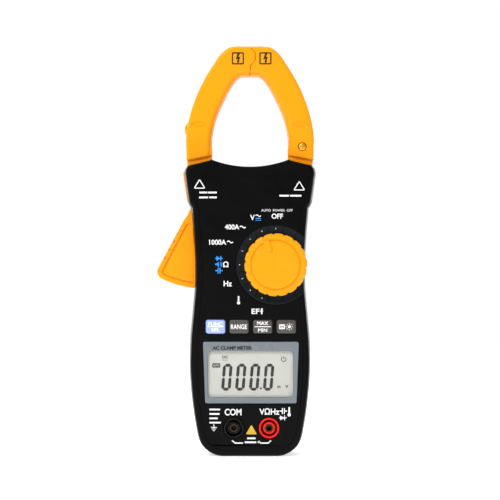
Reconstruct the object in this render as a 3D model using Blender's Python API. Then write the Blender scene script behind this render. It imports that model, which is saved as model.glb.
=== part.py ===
"""Clamp meter with a trigger jaw, a rotary selector, four keys and two test sockets.

The meter stands upright: Z runs from the foot to the jaw tips, the face looks along -Y and +X is to
the right of someone reading the display. The origin is the middle of the flat foot. Dimensions are
in millimetres and become metres when a mesh is made.
"""

import math

import bmesh
import bpy
import numpy as np

MM = 0.001
GAP = 0.3  # between pieces that rest on each other

# Housing
CASE_FRONT, CASE_BACK = -18.0, 18.0
FOOT_HALF_WIDTH, FOOT_CORNER, FOOT_POWER = 21.0, 12.0, 1.4
SIDE_KEYS = [(33.0, 12), (35.4, 23), (38.1, 42), (39.4, 60), (39.0, 78), (37.1, 98), (36.0, 118),
             (36.3, 141), (38.3, 163)]
GUARD_KEYS = [(38.3, 163), (39.9, 165), (40.6, 167), (43.3, 186), (42.9, 188.8), (41.6, 190.6),
              (41.6, 198)]
TOP_CORNER, TOP_PEAK, TOP_MIDDLE = (41.5, 190.6), (24.8, 194.7), 190.2
WALL, FRONT_WALL, BACK_WALL = 2.4, 2.4, 3.4
CAVITY_TOP = 187.0

# Jaws and the lever that carries the left one
JAW_HALF_DEPTH, NECK_HALF_DEPTH = 10.0, 8.8
JAW_OUTER = [(42.0, 195.0), (42.0, 213.0), (39.0, 227.0), (32.8, 243.0), (23.6, 258.8), (19.0, 265.2),
             (14.0, 269.1), (9.0, 270.0), (4.0, 270.0), (-6.0, 270.0)]
JAW_INNER = [(25.2, 198.2), (25.2, 210.0), (22.4, 222.5), (17.0, 235.2), (10.8, 246.2), (8.8, 248.8),
             (6.4, 250.4), (4.2, 250.8), (2.0, 250.8), (-6.0, 250.8)]
SEAM = [(0.0, 275.0), (0.0, 269.8), (3.5, 265.6), (3.5, 260.8), (0.4, 257.4), (-0.2, 250.8), (-0.2, 245.0)]
PIVOT_X, PIVOT_Z = -30.0, 175.0
HUB_RADIUS, TRIGGER_RADIUS = 11.0, 65.0
SLOT_HALF_DEPTH = 9.2
PIN_RADIUS, BUSH_RADIUS = 2.0, 3.3
TIP_CENTRE, TIP_RADIUS = (-56.3, 121.1), 5.0
EDGE_TOP, EDGE_ANGLE = (-43.7, 155.3), 151.9  # the gripping edge's upper end, and the way the edge faces
RIM, PANEL_DEPTH = 3.0, 0.7
NOTCHES, NOTCH_START, NOTCH_PITCH = 4, 9.5, 6.15
COIL = (26.9, 39.5, 209.0, 218.5, 7.9)
COIL_BORE = (28.3, 38.0, -5.4, 5.4)
JAW_SCREW = (34.6, 203.7)
FINGER_GROOVE = (28.6, 39.0, 218.5, 1.5)  # from x to x at a height, and half its width
OUTER_RIDGE = (43.1, 211.4, 219.7)

# Selector
KNOB_X, KNOB_Z = 16.9, 125.8
KNOB_FLUTES, KNOB_TOP = 18, -25.2
KNOB_RINGS = [(20.6, 1.2, -17.4), (20.6, 1.2, -22.9), (19.8, 0.9, -24.2), (18.6, 0.0, -24.8),
              (16.8, 0.0, -24.8), (16.3, 0.0, -24.2), (15.8, 0.0, -24.8), (15.0, 0.0, KNOB_TOP)]
WELL_RADIUS, WELL_FLOOR = 26.3, -17.0
SHAFT_HOLE = 6.6
ROTOR_RADIUS, DETENT_RADIUS, DETENT_DEPTH, DETENTS = 11.0, 13.0, 0.45, 16
BALL_RADIUS, BALL_ORBIT, DETENT_Y = 0.85, 11.9, -14.25
POINTER_ANGLE = math.radians(22.5)

# Keys, display and sockets
KEY_Z, KEY_XS, KEY_WIDTH, KEY_HEIGHT = 85.2, (-22.6, -7.15, 8.3, 23.8), 12.7, 9.0
KEY_NAMES = ("function_key", "range_key", "max_min_key", "hold_key")
DISPLAY_X, DISPLAY_TOP, DISPLAY_BOTTOM = 0.6, (31.5, 75.3), (30.0, 34.9)
LCD_BOX = (-27.7, 28.2, 38.9, 69.0)
SOCKET_Z, SOCKETS = 18.75, (("com", -10.6), ("volt", 12.5))
BOARD_FRONT, BOARD_BACK = -12.9, -11.3

# Screws that hold the case halves together, and the battery bay
CASE_SCREWS = ((-10.0, 181.0), (10.0, 181.0), (-25.0, 16.0), (25.0, 16.0))
BAY = (-14.6, 14.6, 27.0, 85.0)
COVER = (-17.0, 17.0, 16.5, 89.0)
COVER_SCREW_Z = 21.5


def material(name, colour, roughness, metallic=0.0):
    made = bpy.data.materials.new(name)
    made.use_nodes = True
    shader = made.node_tree.nodes["Principled BSDF"]
    shader.inputs["Base Color"].default_value = (*colour, 1.0)
    shader.inputs["Roughness"].default_value = roughness
    shader.inputs["Metallic"].default_value = metallic
    return made


def solid(name, bm, finish, origin=(0, 0, 0)):
    """Closes a bmesh into an object whose own origin is at the given point, in millimetres."""
    bmesh.ops.remove_doubles(bm, verts=bm.verts, dist=1e-4)
    bmesh.ops.recalc_face_normals(bm, faces=bm.faces)
    bmesh.ops.translate(bm, verts=bm.verts, vec=[-value for value in origin])
    bmesh.ops.scale(bm, verts=bm.verts, vec=(MM, MM, MM))
    mesh = bpy.data.meshes.new(name)
    bm.to_mesh(mesh)
    bm.free()
    mesh.materials.append(finish)
    mesh.shade_smooth()
    mesh.set_sharp_from_angle(angle=math.radians(35))
    made = bpy.data.objects.new(name, mesh)
    made.location = [value * MM for value in origin]
    bpy.context.scene.collection.objects.link(made)
    return made


def spline(keys, steps):
    """A smooth curve through the keys: cubic pieces whose slopes weigh the chords on both sides."""
    keys = np.array(keys, float)
    runs = np.diff(keys, axis=0)
    chords = np.linalg.norm(runs, axis=1)
    speeds = runs / chords[:, None]
    share = (chords[:-1] / (chords[:-1] + chords[1:]))[:, None]
    slopes = np.vstack([speeds[:1], speeds[:-1] * (1 - share) + speeds[1:] * share, speeds[-1:]])
    t = np.linspace(0, 1, steps, endpoint=False)[:, None]
    pieces = [
        (2 * t**3 - 3 * t**2 + 1) * keys[i]
        + (t**3 - 2 * t**2 + t) * chords[i] * slopes[i]
        + (3 * t**2 - 2 * t**3) * keys[i + 1]
        + (t**3 - t**2) * chords[i] * slopes[i + 1]
        for i in range(len(chords))
    ]
    return np.vstack(pieces + [keys[-1:]])


def arc(centre, radius, start, end, steps):
    """Points on a circle between two angles in degrees, counterclockwise from +X as seen from the front."""
    angles = np.radians(np.linspace(start, end, steps + 1))
    return [(centre[0] + radius * math.cos(a), centre[1] + radius * math.sin(a)) for a in angles]


def rounded(corners, radius, steps=3):
    """The polygon with an arc at each corner; the radius may be one number or one for each corner."""
    corners = np.array(corners, float)
    outline = []
    for i, r in enumerate(np.broadcast_to(radius, len(corners))):
        corner = corners[i]
        if r == 0:
            outline.append(tuple(corner))
            continue
        back = corners[i - 1] - corner
        ahead = corners[(i + 1) % len(corners)] - corner
        back, ahead = back / np.linalg.norm(back), ahead / np.linalg.norm(ahead)
        half = math.acos(np.dot(back, ahead)) / 2
        middle = (back + ahead) / np.linalg.norm(back + ahead)
        centre = corner + middle * r / math.sin(half)
        spoke = corner + back * r / math.tan(half) - centre
        turn = (math.pi - 2 * half) * (1 if back[0] * ahead[1] < back[1] * ahead[0] else -1)
        for angle in np.linspace(0, turn, steps + 1):
            c, s = math.cos(angle), math.sin(angle)
            outline.append((centre[0] + c * spoke[0] - s * spoke[1], centre[1] + s * spoke[0] + c * spoke[1]))
    return outline


def rectangle(x0, x1, z0, z1):
    return [(x0, z0), (x1, z0), (x1, z1), (x0, z1)]


def prism(name, outline, front, back, finish, origin=(0, 0, 0)):
    """Extrudes a front-view outline of (x, z) points from y = front to y = back."""
    bm = bmesh.new()
    face = bm.faces.new([bm.verts.new((x, front, z)) for x, z in outline])
    grown = bmesh.ops.extrude_face_region(bm, geom=[face])["geom"]
    moved = [item for item in grown if isinstance(item, bmesh.types.BMVert)]
    bmesh.ops.translate(bm, verts=moved, vec=(0, back - front, 0))
    return solid(name, bm, finish, origin)


def turned(name, profile, centre, finish, steps=24, closed=False):
    """Revolves (radius, y) points about the line along Y through the centre (x, z)."""
    bm = bmesh.new()
    verts = [bm.verts.new((r, y, 0)) for r, y in profile]
    edges = [bm.edges.new(pair) for pair in zip(verts[:-1], verts[1:])]
    if closed:
        edges.append(bm.edges.new((verts[-1], verts[0])))
    bmesh.ops.spin(bm, geom=verts + edges, cent=(0, 0, 0), axis=(0, 1, 0), angle=math.tau, steps=steps,
                   use_merge=True)
    bmesh.ops.translate(bm, verts=bm.verts, vec=(centre[0], 0, centre[1]))
    return solid(name, bm, finish, (centre[0], 0, centre[1]))


def rod(name, radius, front, back, centre, finish, steps=20):
    return turned(name, [(0, front), (radius, front), (radius, back), (0, back)], centre, finish, steps)


def loft(name, rings, finish, origin=(0, 0, 0)):
    """Skins a list of rings of (x, y, z) points, all of one length, and closes both ends."""
    bm = bmesh.new()
    loops = [[bm.verts.new(point) for point in ring] for ring in rings]
    for low, high in zip(loops[:-1], loops[1:]):
        for i in range(len(low)):
            j = (i + 1) % len(low)
            bm.faces.new((low[i], low[j], high[j], high[i]))
    bm.faces.new(loops[0])
    bm.faces.new(loops[-1])
    return solid(name, bm, finish, origin)


# Pieces whose long chain of cuts leaves open edges with the EXACT solver
SOLVERS = dict.fromkeys(("rear_case", "fixed_jaw_front", "fixed_jaw_rear", "moving_jaw_front",
                         "moving_jaw_rear"), "MANIFOLD")


def combine(target, tool, operation="DIFFERENCE"):
    """Adds a Boolean of the tool to the target and takes the tool out of the model."""
    step = target.modifiers.new(f"{operation.lower()} {tool.name}", "BOOLEAN")
    step.operation = operation
    step.solver = SOLVERS.get(target.name, "EXACT")
    step.object = tool
    tool.hide_render = True
    tool.display_type = "WIRE"
    return tool


def cut(target, *tools):
    for tool in tools:
        combine(target, tool)


def join(target, *tools):
    for tool in tools:
        combine(target, tool, "UNION")


def case_half_width(z):
    """Half the housing's width at a height: a rounded foot, a belly and a waist, then the hand guard."""
    if z < FOOT_CORNER:
        fall = (1 - z / FOOT_CORNER) ** FOOT_POWER
        return FOOT_HALF_WIDTH + (SIDE_KEYS[0][0] - FOOT_HALF_WIDTH) * (1 - fall) ** (1 / FOOT_POWER)
    side = spline(SIDE_KEYS, 4) if z < SIDE_KEYS[-1][1] else np.array(GUARD_KEYS, float)
    return float(np.interp(z, side[:, 1], side[:, 0]))


def foot_inset(z, reach=4.0, depth=3.5):
    """How far the front and back draw in near the foot, as a quarter circle in section."""
    return depth * (1 - math.sqrt(1 - (1 - z / reach) ** 2)) if z < reach else 0.0


def front_rounding(z):
    """The radius of the front edge: tight beside the display, broad on the hand guard."""
    return float(np.interp(z, (160.0, 168.0), (2.2, 3.6)))


def case_ring(z, half_width, front, back, front_radius, back_radius=7.0):
    """One level outline of the housing: a tight front edge, a slight bulge and a rounder back edge."""
    lip = 0.9
    right = [(half_width - lip - front_radius * (1 - math.sin(a)), front + front_radius * (1 - math.cos(a)))
             for a in np.radians((0, 45, 90))]
    right += [(half_width, -6.0), (half_width, back - back_radius)]
    right += [(half_width - back_radius * (1 - math.cos(a)), back - back_radius * (1 - math.sin(a)))
              for a in np.radians((30, 60, 90))]
    left = [(-x, y) for x, y in reversed(right)]
    return [(x, y, z) for x, y in right + left]


def case_body(name, finish):
    """The whole outer form of the housing, both halves together, below the shaped top edge."""
    heights = [0, 1, 2.5, 4.5, 7.5, 12, 20, 32, 46, 62, 80, 98, 116, 134, 150, 163, 165, 167, 186, 188.8,
               190.6, 197]
    rings = [case_ring(z, case_half_width(z), CASE_FRONT + foot_inset(z), CASE_BACK - foot_inset(z),
                       front_rounding(z)) for z in heights]
    body = loft(name, rings, finish)
    half = TOP_PEAK[0]
    sagitta = TOP_PEAK[1] - TOP_MIDDLE
    radius = (half**2 + sagitta**2) / (2 * sagitta)
    spread = math.degrees(math.asin(half / radius))
    dip = arc((0, TOP_MIDDLE + radius), radius, 270 - spread, 270 + spread, 12)
    above = [(-60, 210), (-60, TOP_CORNER[1]), (-TOP_CORNER[0], TOP_CORNER[1]), *dip, TOP_CORNER,
             (60, TOP_CORNER[1]), (60, 210)]
    cut(body, prism(f"{name}_top_edge", above, -30, 30, finish))
    return body


def case_cavity(name, finish):
    """The hollow inside the housing, the outer form drawn in by the wall."""
    heights = [3, 6, 10, 16, 28, 44, 62, 80, 98, 118, 146, 165, CAVITY_TOP]
    rings = [case_ring(z, case_half_width(max(z - WALL, 0)) - WALL, CASE_FRONT + FRONT_WALL + foot_inset(z - 1),
                       CASE_BACK - BACK_WALL - foot_inset(z - 1), 1.5, 5.0) for z in heights]
    return loft(name, rings, finish)


def lever_slot(name, finish):
    """The opening in the left side and top through which the lever swings."""
    floor = arc((PIVOT_X, PIVOT_Z), TRIGGER_RADIUS + 0.8, 218, 269, 6)
    outline = [(-82.0, 215.0), *floor, (-31.0, 186.0), (-24.8, 186.0), (-24.8, 215.0)]
    return prism(name, outline, -SLOT_HALF_DEPTH, SLOT_HALF_DEPTH, finish)


def case_half(name, finish, front):
    """One half of the shell, hollowed and opened for the lever and for the fixed jaw's tongue."""
    half = case_body(name, finish)
    hollow = case_cavity(f"{name}_hollow", finish)
    split = GAP / 2
    span = (-split, 40.0) if front else (-40.0, split)
    away = prism(f"{name}_other_half", rectangle(-80, 80, -20, 230), *span, finish)
    tongue = prism(f"{name}_tongue_way", rectangle(26.1, 37.2, 182, 215), -SLOT_HALF_DEPTH, SLOT_HALF_DEPTH,
                   finish)
    cut(half, hollow, lever_slot(f"{name}_slot", finish), tongue)
    return half, away


def boss(name, centre, radius, front, back, finish):
    return rod(name, radius, front, back, centre, finish, 16)


def display_outline(inset, radius):
    """The display window's outline, a little narrower at its foot, drawn in by the inset."""
    (top, z_top), (foot, z_foot) = DISPLAY_TOP, DISPLAY_BOTTOM
    corners = [(DISPLAY_X - foot + inset, z_foot + inset), (DISPLAY_X + foot - inset, z_foot + inset),
               (DISPLAY_X + top - inset, z_top - inset), (DISPLAY_X - top + inset, z_top - inset)]
    return rounded(corners, radius)


def key_outline(x, grow, radius):
    return rounded(rectangle(x - KEY_WIDTH / 2 - grow, x + KEY_WIDTH / 2 + grow, KEY_Z - KEY_HEIGHT / 2 - grow,
                             KEY_Z + KEY_HEIGHT / 2 + grow), radius)


def front_case(finish):
    half, away = case_half("front_case", finish, True)
    inner = CASE_FRONT + FRONT_WALL
    posts = [boss(f"front_post_{i}", centre, 3.2, inner - 1.0, 1.0, finish)
             for i, centre in enumerate(CASE_SCREWS)]
    pivot = boss("front_pivot_post", (PIVOT_X, PIVOT_Z), 4.6, inner - 1.0, -SLOT_HALF_DEPTH, finish)
    join(half, *posts, pivot)
    for i, centre in enumerate(CASE_SCREWS):
        cut(half, rod(f"front_post_hole_{i}", 1.5, -10.0, 5.0, centre, finish, 12))
    cut(half, rod("front_pivot_hole", PIN_RADIUS + GAP, -15.0, 0.0, (PIVOT_X, PIVOT_Z), finish))
    centre = (KNOB_X, KNOB_Z)
    well = [(0, -25), (WELL_RADIUS, -25), (WELL_RADIUS, WELL_FLOOR), (SHAFT_HOLE, WELL_FLOOR),
            (SHAFT_HOLE, -10), (0, -10)]
    cut(half, turned("dial_well", well, centre, finish, 40),
        prism("display_opening", display_outline(-GAP, 2.6), -30, -10, finish))
    for name, x in zip(KEY_NAMES, KEY_XS):
        cut(half, prism(f"{name}_hole", key_outline(x, 0.4, 1.9), -30, -10, finish))
    for name, x in SOCKETS:
        cut(half, rod(f"{name}_hole", 7.0, -30, -10, (x, SOCKET_Z), finish, 32))
    cut(half, away)
    return half


def rear_case(finish):
    half, away = case_half("rear_case", finish, False)
    inner = CASE_BACK - BACK_WALL
    posts = [boss(f"rear_post_{i}", centre, 3.4, -1.0, inner + 1.0, finish)
             for i, centre in enumerate(CASE_SCREWS)]
    posts.append(boss("rear_pivot_post", (PIVOT_X, PIVOT_Z), 4.0, 13.2, inner + 1.0, finish))
    posts.append(boss("cover_post", (0, COVER_SCREW_Z), 3.4, 5.0, inner + 1.0, finish))
    x0, x1, z0, z1 = BAY
    tray = prism("bay_walls", rectangle(x0 - 1.4, x1 + 1.4, z0 - 1.4, z1 + 1.4), -4.4, inner + 1.0, finish)
    join(half, *posts)
    for i, centre in enumerate(CASE_SCREWS):
        cut(half, rod(f"rear_post_hole_{i}", 1.5, -5.0, 30.0, centre, finish, 12),
            rod(f"rear_head_hole_{i}", 3.0, 13.5, 30.0, centre, finish, 16))
    cut(half, away)
    join(half, tray)
    cut(half, prism("bay", rectangle(*BAY), -3.0, 30, finish))
    x0, x1, z0, z1 = COVER
    cut(half, prism("cover_seat", rounded(rectangle(x0 - GAP, x1 + GAP, z0 - GAP, z1 + GAP), 2.3), 15.8, 30,
                    finish))
    cut(half, rod("rear_pivot_hole", PIN_RADIUS + GAP, 10.0, 15.0, (PIVOT_X, PIVOT_Z), finish),
        rod("cover_post_hole", 1.3, 6.0, 30.0, (0, COVER_SCREW_Z), finish, 12))
    return half


def battery_cover(finish):
    """A panel cut from the same outer form, so that it carries on the curve of the back."""
    cover = case_body("battery_cover", finish)
    blank = prism("cover_blank", rounded(rectangle(*COVER), 2.0), 15.8 + GAP, 30, finish)
    combine(cover, blank, "INTERSECT")
    centre = (0, COVER_SCREW_Z)
    cut(cover, rod("cover_screw_hole", 1.6, 10, 30, centre, finish, 12),
        rod("cover_head_hole", 2.9, 17.0, 30, centre, finish, 16))
    for i in range(5):
        z = 72.0 + 2.6 * i
        cut(cover, prism(f"cover_grip_{i}", rectangle(-8, 8, z, z + 1.2), 17.4, 30, finish))
    return cover


def screw(name, centre, head, shank, head_face, head_back, tip, finish):
    """A pan-head screw along Y with a cross recess; head_face is the y of its outer face."""
    outward = 1 if head_face > head_back else -1
    made = turned(name, [(0, head_face), (head * 0.7, head_face), (head, head_face - outward * 0.35),
                         (head, head_back), (shank, head_back), (shank, tip), (0, tip)], centre, finish, 10)
    deep = head_face - outward * 0.6
    spread = sorted((deep, head_face + outward))
    x, z = centre
    for i, (w, h) in enumerate(((0.28 * head, 0.68 * head), (0.68 * head, 0.27 * head))):
        cut(made, prism(f"{name}_cross_{i}", rectangle(x - w, x + w, z - h, z + h), *spread, finish))
    return made


def lever_outline():
    """The moving jaw's neck, its hub round the pivot, and the trigger that shares the same plate."""
    pivot = (PIVOT_X, PIVOT_Z)
    lean = math.degrees(math.atan2(TIP_CENTRE[1] - PIVOT_Z, TIP_CENTRE[0] - PIVOT_X)) % 360
    return [(-26.5, 203.0), (-26.5, 186.5), *arc(pivot, HUB_RADIUS, 50, -50, 6), (-31.0, 150.0),
            *arc(pivot, TRIGGER_RADIUS, 267.3, lean, 5), *arc(TIP_CENTRE, TIP_RADIUS, lean, EDGE_ANGLE, 5)[1:],
            EDGE_TOP, (-41.4, 158.3), (-39.2, 163.5), (-41.6, 168.0), (-44.3, 186.0), (-41.4, 191.5),
            (-41.4, 203.0)]


def trigger_panel():
    """The sunk panel of the trigger, a rim's width inside its edge."""
    pivot = (PIVOT_X, PIVOT_Z)
    lean = math.degrees(math.atan2(TIP_CENTRE[1] - PIVOT_Z, TIP_CENTRE[0] - PIVOT_X)) % 360
    inward = (-math.cos(math.radians(EDGE_ANGLE)), -math.sin(math.radians(EDGE_ANGLE)))
    top = (EDGE_TOP[0] + RIM * inward[0], EDGE_TOP[1] + RIM * inward[1])
    return [top, *arc(TIP_CENTRE, TIP_RADIUS - RIM, EDGE_ANGLE, lean, 3),
            *arc(pivot, TRIGGER_RADIUS - RIM, lean, 265, 5)[1:], (-35.4, 150.0), (-39.4, 156.5)]


def arm_curves():
    return spline(JAW_OUTER, 3), spline(JAW_INNER, 3)


def jaw_arm(name, side, face, finish, origin):
    """One side of an arm: a section with a broad inner and a small outer round, carried up the arm.

    It reaches past the middle plane, where the two halves are parted later.
    """
    inner_round, outer_round, past_middle = 3.3, 2.0, -2.0
    rings = []
    for outer, inner in zip(*arm_curves()):
        width = np.linalg.norm(outer - inner)
        across = (outer - inner) / width
        section = [(0.0, past_middle)]
        section += [(inner_round * (1 - math.cos(a)), JAW_HALF_DEPTH - inner_round * (1 - math.sin(a)))
                    for a in np.radians((0, 30, 60, 90))]
        section += [(width - outer_round * (1 - math.sin(a)), JAW_HALF_DEPTH - outer_round * (1 - math.cos(a)))
                    for a in np.radians((0, 45, 90))]
        section += [(width, past_middle)]
        rings.append([(side * (inner[0] + d * across[0]), face * y, inner[1] + d * across[1])
                      for d, y in section])
    return loft(name, rings, finish, origin)


def core_outline(margin, tip_x, foot_z):
    """The band along the middle of an arm that the magnetic core takes up, a share of its width."""
    outer, inner = arm_curves()
    low, high = inner + margin * (outer - inner), inner + (1 - margin) * (outer - inner)
    middle = (low + high) / 2
    inside = (middle[:, 1] > foot_z) & (middle[:, 0] > tip_x)
    return [tuple(p) for p in low[inside]] + [tuple(p) for p in high[inside][::-1]]


def jaw_half(name, side, face, plate, finish, origin):
    """One moulded half of a jaw; side is -1 for the left jaw, face is -1 for the half towards the front."""
    half = jaw_arm(name, side, face, finish, origin)
    join(half, prism(f"{name}_plate", plate, *sorted((face * -3.0, face * NECK_HALF_DEPTH)), finish))
    if side < 0:
        edge, low, high = OUTER_RIDGE
        ridge = [(-40.5, low), (-42.2, low), (-edge, low + 1.5), (-edge, high - 2.5), (-41.4, high), (-39.5, high)]
        join(half, prism(f"{name}_ridge", ridge, *sorted((face * -3.0, face * 6.0)), finish))
    cut(half, finger_groove(f"{name}_groove", side, face, finish))
    shift = side * GAP / 2
    seam = [(x + shift, z) for x, z in SEAM] + [(-side * 45, 245.0), (-side * 45, 275.0)]
    cut(half, prism(f"{name}_seam", seam, -20, 20, finish))
    tip_x = 2.5 if side < 0 else 7.0
    pocket = [(side * x, z) for x, z in core_outline(0.22, tip_x, 207.0)]
    x0, x1, z0, z1, deep = COIL
    coil_way = [(side * x, z) for x, z in rectangle(x0 - 0.4, x1 + 0.4, z0 - 0.5, z1 + 0.5)]
    cut(half, prism(f"{name}_core_way", pocket, -6.0, 6.0, finish),
        prism(f"{name}_coil_way", coil_way, -deep - 0.4, deep + 0.4, finish))
    centre = (side * JAW_SCREW[0], JAW_SCREW[1])
    if face == side * -1:  # the half that carries the screw's head: front on the right jaw, rear on the left
        cut(half, rod(f"{name}_screw_hole", 1.5, -20, 20, centre, finish, 12),
            rod(f"{name}_head_hole", 2.9, *sorted((face * 8.0, face * 20)), centre, finish, 20))
    else:
        cut(half, rod(f"{name}_screw_hole", 1.5, *sorted((face * 7.5, -face * 20)), centre, finish, 12))
    return half


def finger_groove(name, side, face, finish):
    """A lens-shaped groove across the face of an arm, where a fingertip finds the jaw."""
    x0, x1, z, half_width = FINGER_GROOVE
    t = np.linspace(0, math.pi, 7)
    middle, reach = (x0 + x1) / 2, (x1 - x0) / 2
    upper = [(side * (middle - reach * math.cos(a)), z + half_width * math.sin(a)) for a in t]
    lower = [(x, 2 * z - height) for x, height in upper[-2:0:-1]]
    return prism(name, upper + lower, *sorted((face * (JAW_HALF_DEPTH - 0.5), face * 20)), finish)


def part_halves(half, face, finish):
    """Takes off what reaches past the middle plane, leaving half of the gap between the halves."""
    beyond = sorted((face * GAP / 2, face * -40))
    cut(half, prism(f"{half.name}_parting", rectangle(-90, 90, 90, 290), *beyond, finish))


def jaw_core(name, side, finish, origin):
    tip_x = 3.0 if side < 0 else 7.5
    outline = [(side * x, z) for x, z in core_outline(0.3, tip_x, 208.0)]
    return prism(name, outline, -5.0, 5.0, finish, origin)


def jaw_coil(name, side, finish, origin):
    """A bobbin with a flange at each end of its winding, open through the middle for the core."""
    x0, x1, z0, z1, deep = COIL
    rings = []
    for z, inset in ((z0, 0), (z0 + 1, 0), (z0 + 1, 0.7), (z1 - 1, 0.7), (z1 - 1, 0), (z1, 0)):
        section = rounded(rectangle(x0 + inset, x1 - inset, inset - deep, deep - inset), 1.2, 2)
        rings.append([(side * x, y, z) for x, y in section])
    coil = loft(name, rings, finish, origin)
    bore = [[(side * x, y, z) for x, y in rectangle(*COIL_BORE)] for z in (z0 - 3, z1 + 3)]
    cut(coil, loft(f"{name}_bore", bore, finish))
    return coil


def lever(finishes):
    """The left jaw with its trigger, which turns on the pivot pin."""
    origin = (PIVOT_X, 0, PIVOT_Z)
    plate = lever_outline()
    along = np.array((math.cos(math.radians(EDGE_ANGLE + 90)), math.sin(math.radians(EDGE_ANGLE + 90))))
    inward = np.array((-math.cos(math.radians(EDGE_ANGLE)), -math.sin(math.radians(EDGE_ANGLE))))
    for face, word in ((-1, "front"), (1, "rear")):
        half = jaw_half(f"moving_jaw_{word}", -1, face, plate, finishes["yellow"], origin)
        panel = prism(f"trigger_panel_{word}", trigger_panel(), 
                      *sorted((face * (NECK_HALF_DEPTH - PANEL_DEPTH), face * 12)), finishes["yellow"])
        bore = rod(f"lever_bore_{word}", BUSH_RADIUS + GAP, -20, 20, (PIVOT_X, PIVOT_Z), finishes["yellow"], 24)
        cut(half, panel, bore)
        for i in range(NOTCHES):
            middle = np.array(EDGE_TOP) + along * (NOTCH_START + NOTCH_PITCH * i)
            corners = [middle + along * a + inward * b
                       for a, b in ((-0.7, -2), (0.7, -2), (0.7, 1.2), (-0.7, 1.2))]
            cut(half, prism(f"grip_notch_{word}_{i}", corners, -12, 12, finishes["yellow"]))
        part_halves(half, face, finishes["yellow"])
    jaw_core("moving_jaw_core", -1, finishes["steel"], origin)
    jaw_coil("moving_jaw_coil", -1, finishes["copper"], origin)
    screw("moving_jaw_screw", (-JAW_SCREW[0], JAW_SCREW[1]), 2.6, 1.2, 9.4, 8.3, -6.8, finishes["bright"])
    turned("jaw_pivot_bush", [(2.3, -8.6), (BUSH_RADIUS, -8.6), (BUSH_RADIUS, 8.6), (2.3, 8.6)],
           (PIVOT_X, PIVOT_Z), finishes["brass"], 20, closed=True)


def fixed_jaw(finishes):
    plate = rounded([(26.5, 203.0), (26.5, 172.0), (36.8, 172.0), (36.8, 192.1), (41.4, 191.0), (41.4, 203.0)],
                    (0, 2.0, 2.0, 0, 0, 0))
    for face, word in ((-1, "front"), (1, "rear")):
        half = jaw_half(f"fixed_jaw_{word}", 1, face, plate, finishes["yellow"], (0, 0, 0))
        part_halves(half, face, finishes["yellow"])
    jaw_core("fixed_jaw_core", 1, finishes["steel"], (0, 0, 0))
    jaw_coil("fixed_jaw_coil", 1, finishes["copper"], (0, 0, 0))
    screw("fixed_jaw_screw", JAW_SCREW, 2.6, 1.2, -9.4, -8.3, 6.8, finishes["bright"])


def tube(name, path, radius, finish, axis=(0.0, 1.0, 0.0), sides=6):
    """A round wire wound about an axis, its section turned to face along the path at each point."""
    path = np.array(path, float)
    rings = []
    for i, point in enumerate(path):
        ahead = path[min(i + 1, len(path) - 1)] - path[max(i - 1, 0)]
        ahead /= np.linalg.norm(ahead)
        first = np.cross(ahead, axis)
        first /= np.linalg.norm(first)
        second = np.cross(ahead, first)
        rings.append([tuple(point + radius * (math.cos(a) * first + math.sin(a) * second))
                      for a in np.linspace(0, math.tau, sides, endpoint=False)])
    return loft(name, rings, finish, tuple(path[0]))


def return_spring(finish):
    """A torsion spring round the pivot: two turns with a leg against the case and one on the lever."""
    coil_radius, first_y, pitch, turns = 4.2, 9.9, 1.35, 2
    angles = np.linspace(0, math.tau * turns, 10 * turns + 1)
    coil = [(PIVOT_X + coil_radius * math.cos(a), first_y + pitch * a / math.tau,
             PIVOT_Z + coil_radius * math.sin(a)) for a in angles]
    low_leg = (coil[0][0], first_y, PIVOT_Z - 11.0)
    high_leg = (coil[-1][0], coil[-1][1] + 0.2, PIVOT_Z + 9.0)
    tube("jaw_return_spring", [low_leg, *coil, high_leg], 0.5, finish)


def fluted(radius, depth, y):
    """A ring of the knob with one shallow scallop for each flute."""
    angles = np.linspace(0, math.tau, 3 * KNOB_FLUTES, endpoint=False)
    radii = radius - depth * (1 - np.abs(np.sin(angles * KNOB_FLUTES / 2)))
    return [(KNOB_X + r * math.cos(a), y, KNOB_Z + r * math.sin(a)) for r, a in zip(radii, angles)]


def selector(finishes):
    centre = (KNOB_X, KNOB_Z)
    origin = (KNOB_X, 0, KNOB_Z)
    knob = loft("selector_knob", [fluted(*ring) for ring in KNOB_RINGS], finishes["yellow"], origin)
    hub = rod("knob_hub", 6.0, -18.0, -15.5, centre, finishes["yellow"], 20)
    up = np.array((-math.sin(POINTER_ANGLE), math.cos(POINTER_ANGLE)))
    across = np.array((up[1], -up[0]))
    corners = [np.array(centre) + up * u + across * v
               for u, v in ((7.6, -2.3), (7.6, 2.3), (16.0, 2.3), (16.0, -2.3))]
    pointer = prism("knob_pointer", rounded(corners, (2.2, 2.2, 0.6, 0.6), 4), KNOB_TOP - 0.9, KNOB_TOP + 0.6,
                    finishes["yellow"])
    join(knob, hub, pointer)
    rotor = rod("switch_rotor", ROTOR_RADIUS, -15.2, -13.3, centre, finishes["white"], 28)
    for i, side in enumerate((-1, 1)):
        slot = rectangle(KNOB_X - 1.2, KNOB_X + 1.2, *sorted((KNOB_Z + side * 6.4, KNOB_Z + side * 14)))
        cut(rotor, prism(f"rotor_slot_{i}", slot, -20, -10, finishes["white"]))
        detent(i + 1, side, finishes["steel"])
    angles = np.linspace(0, math.tau, DETENTS * 3, endpoint=False)
    radii = DETENT_RADIUS + DETENT_DEPTH * np.cos(angles * DETENTS)
    inner = [(KNOB_X + r * math.cos(a), KNOB_Z + r * math.sin(a)) for r, a in zip(radii, angles)]
    ring = rod("detent_ring", 14.4, -15.2, -13.3, centre, finishes["white"], 32)
    cut(ring, prism("detent_notches", inner, -20, -10, finishes["white"]))


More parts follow.
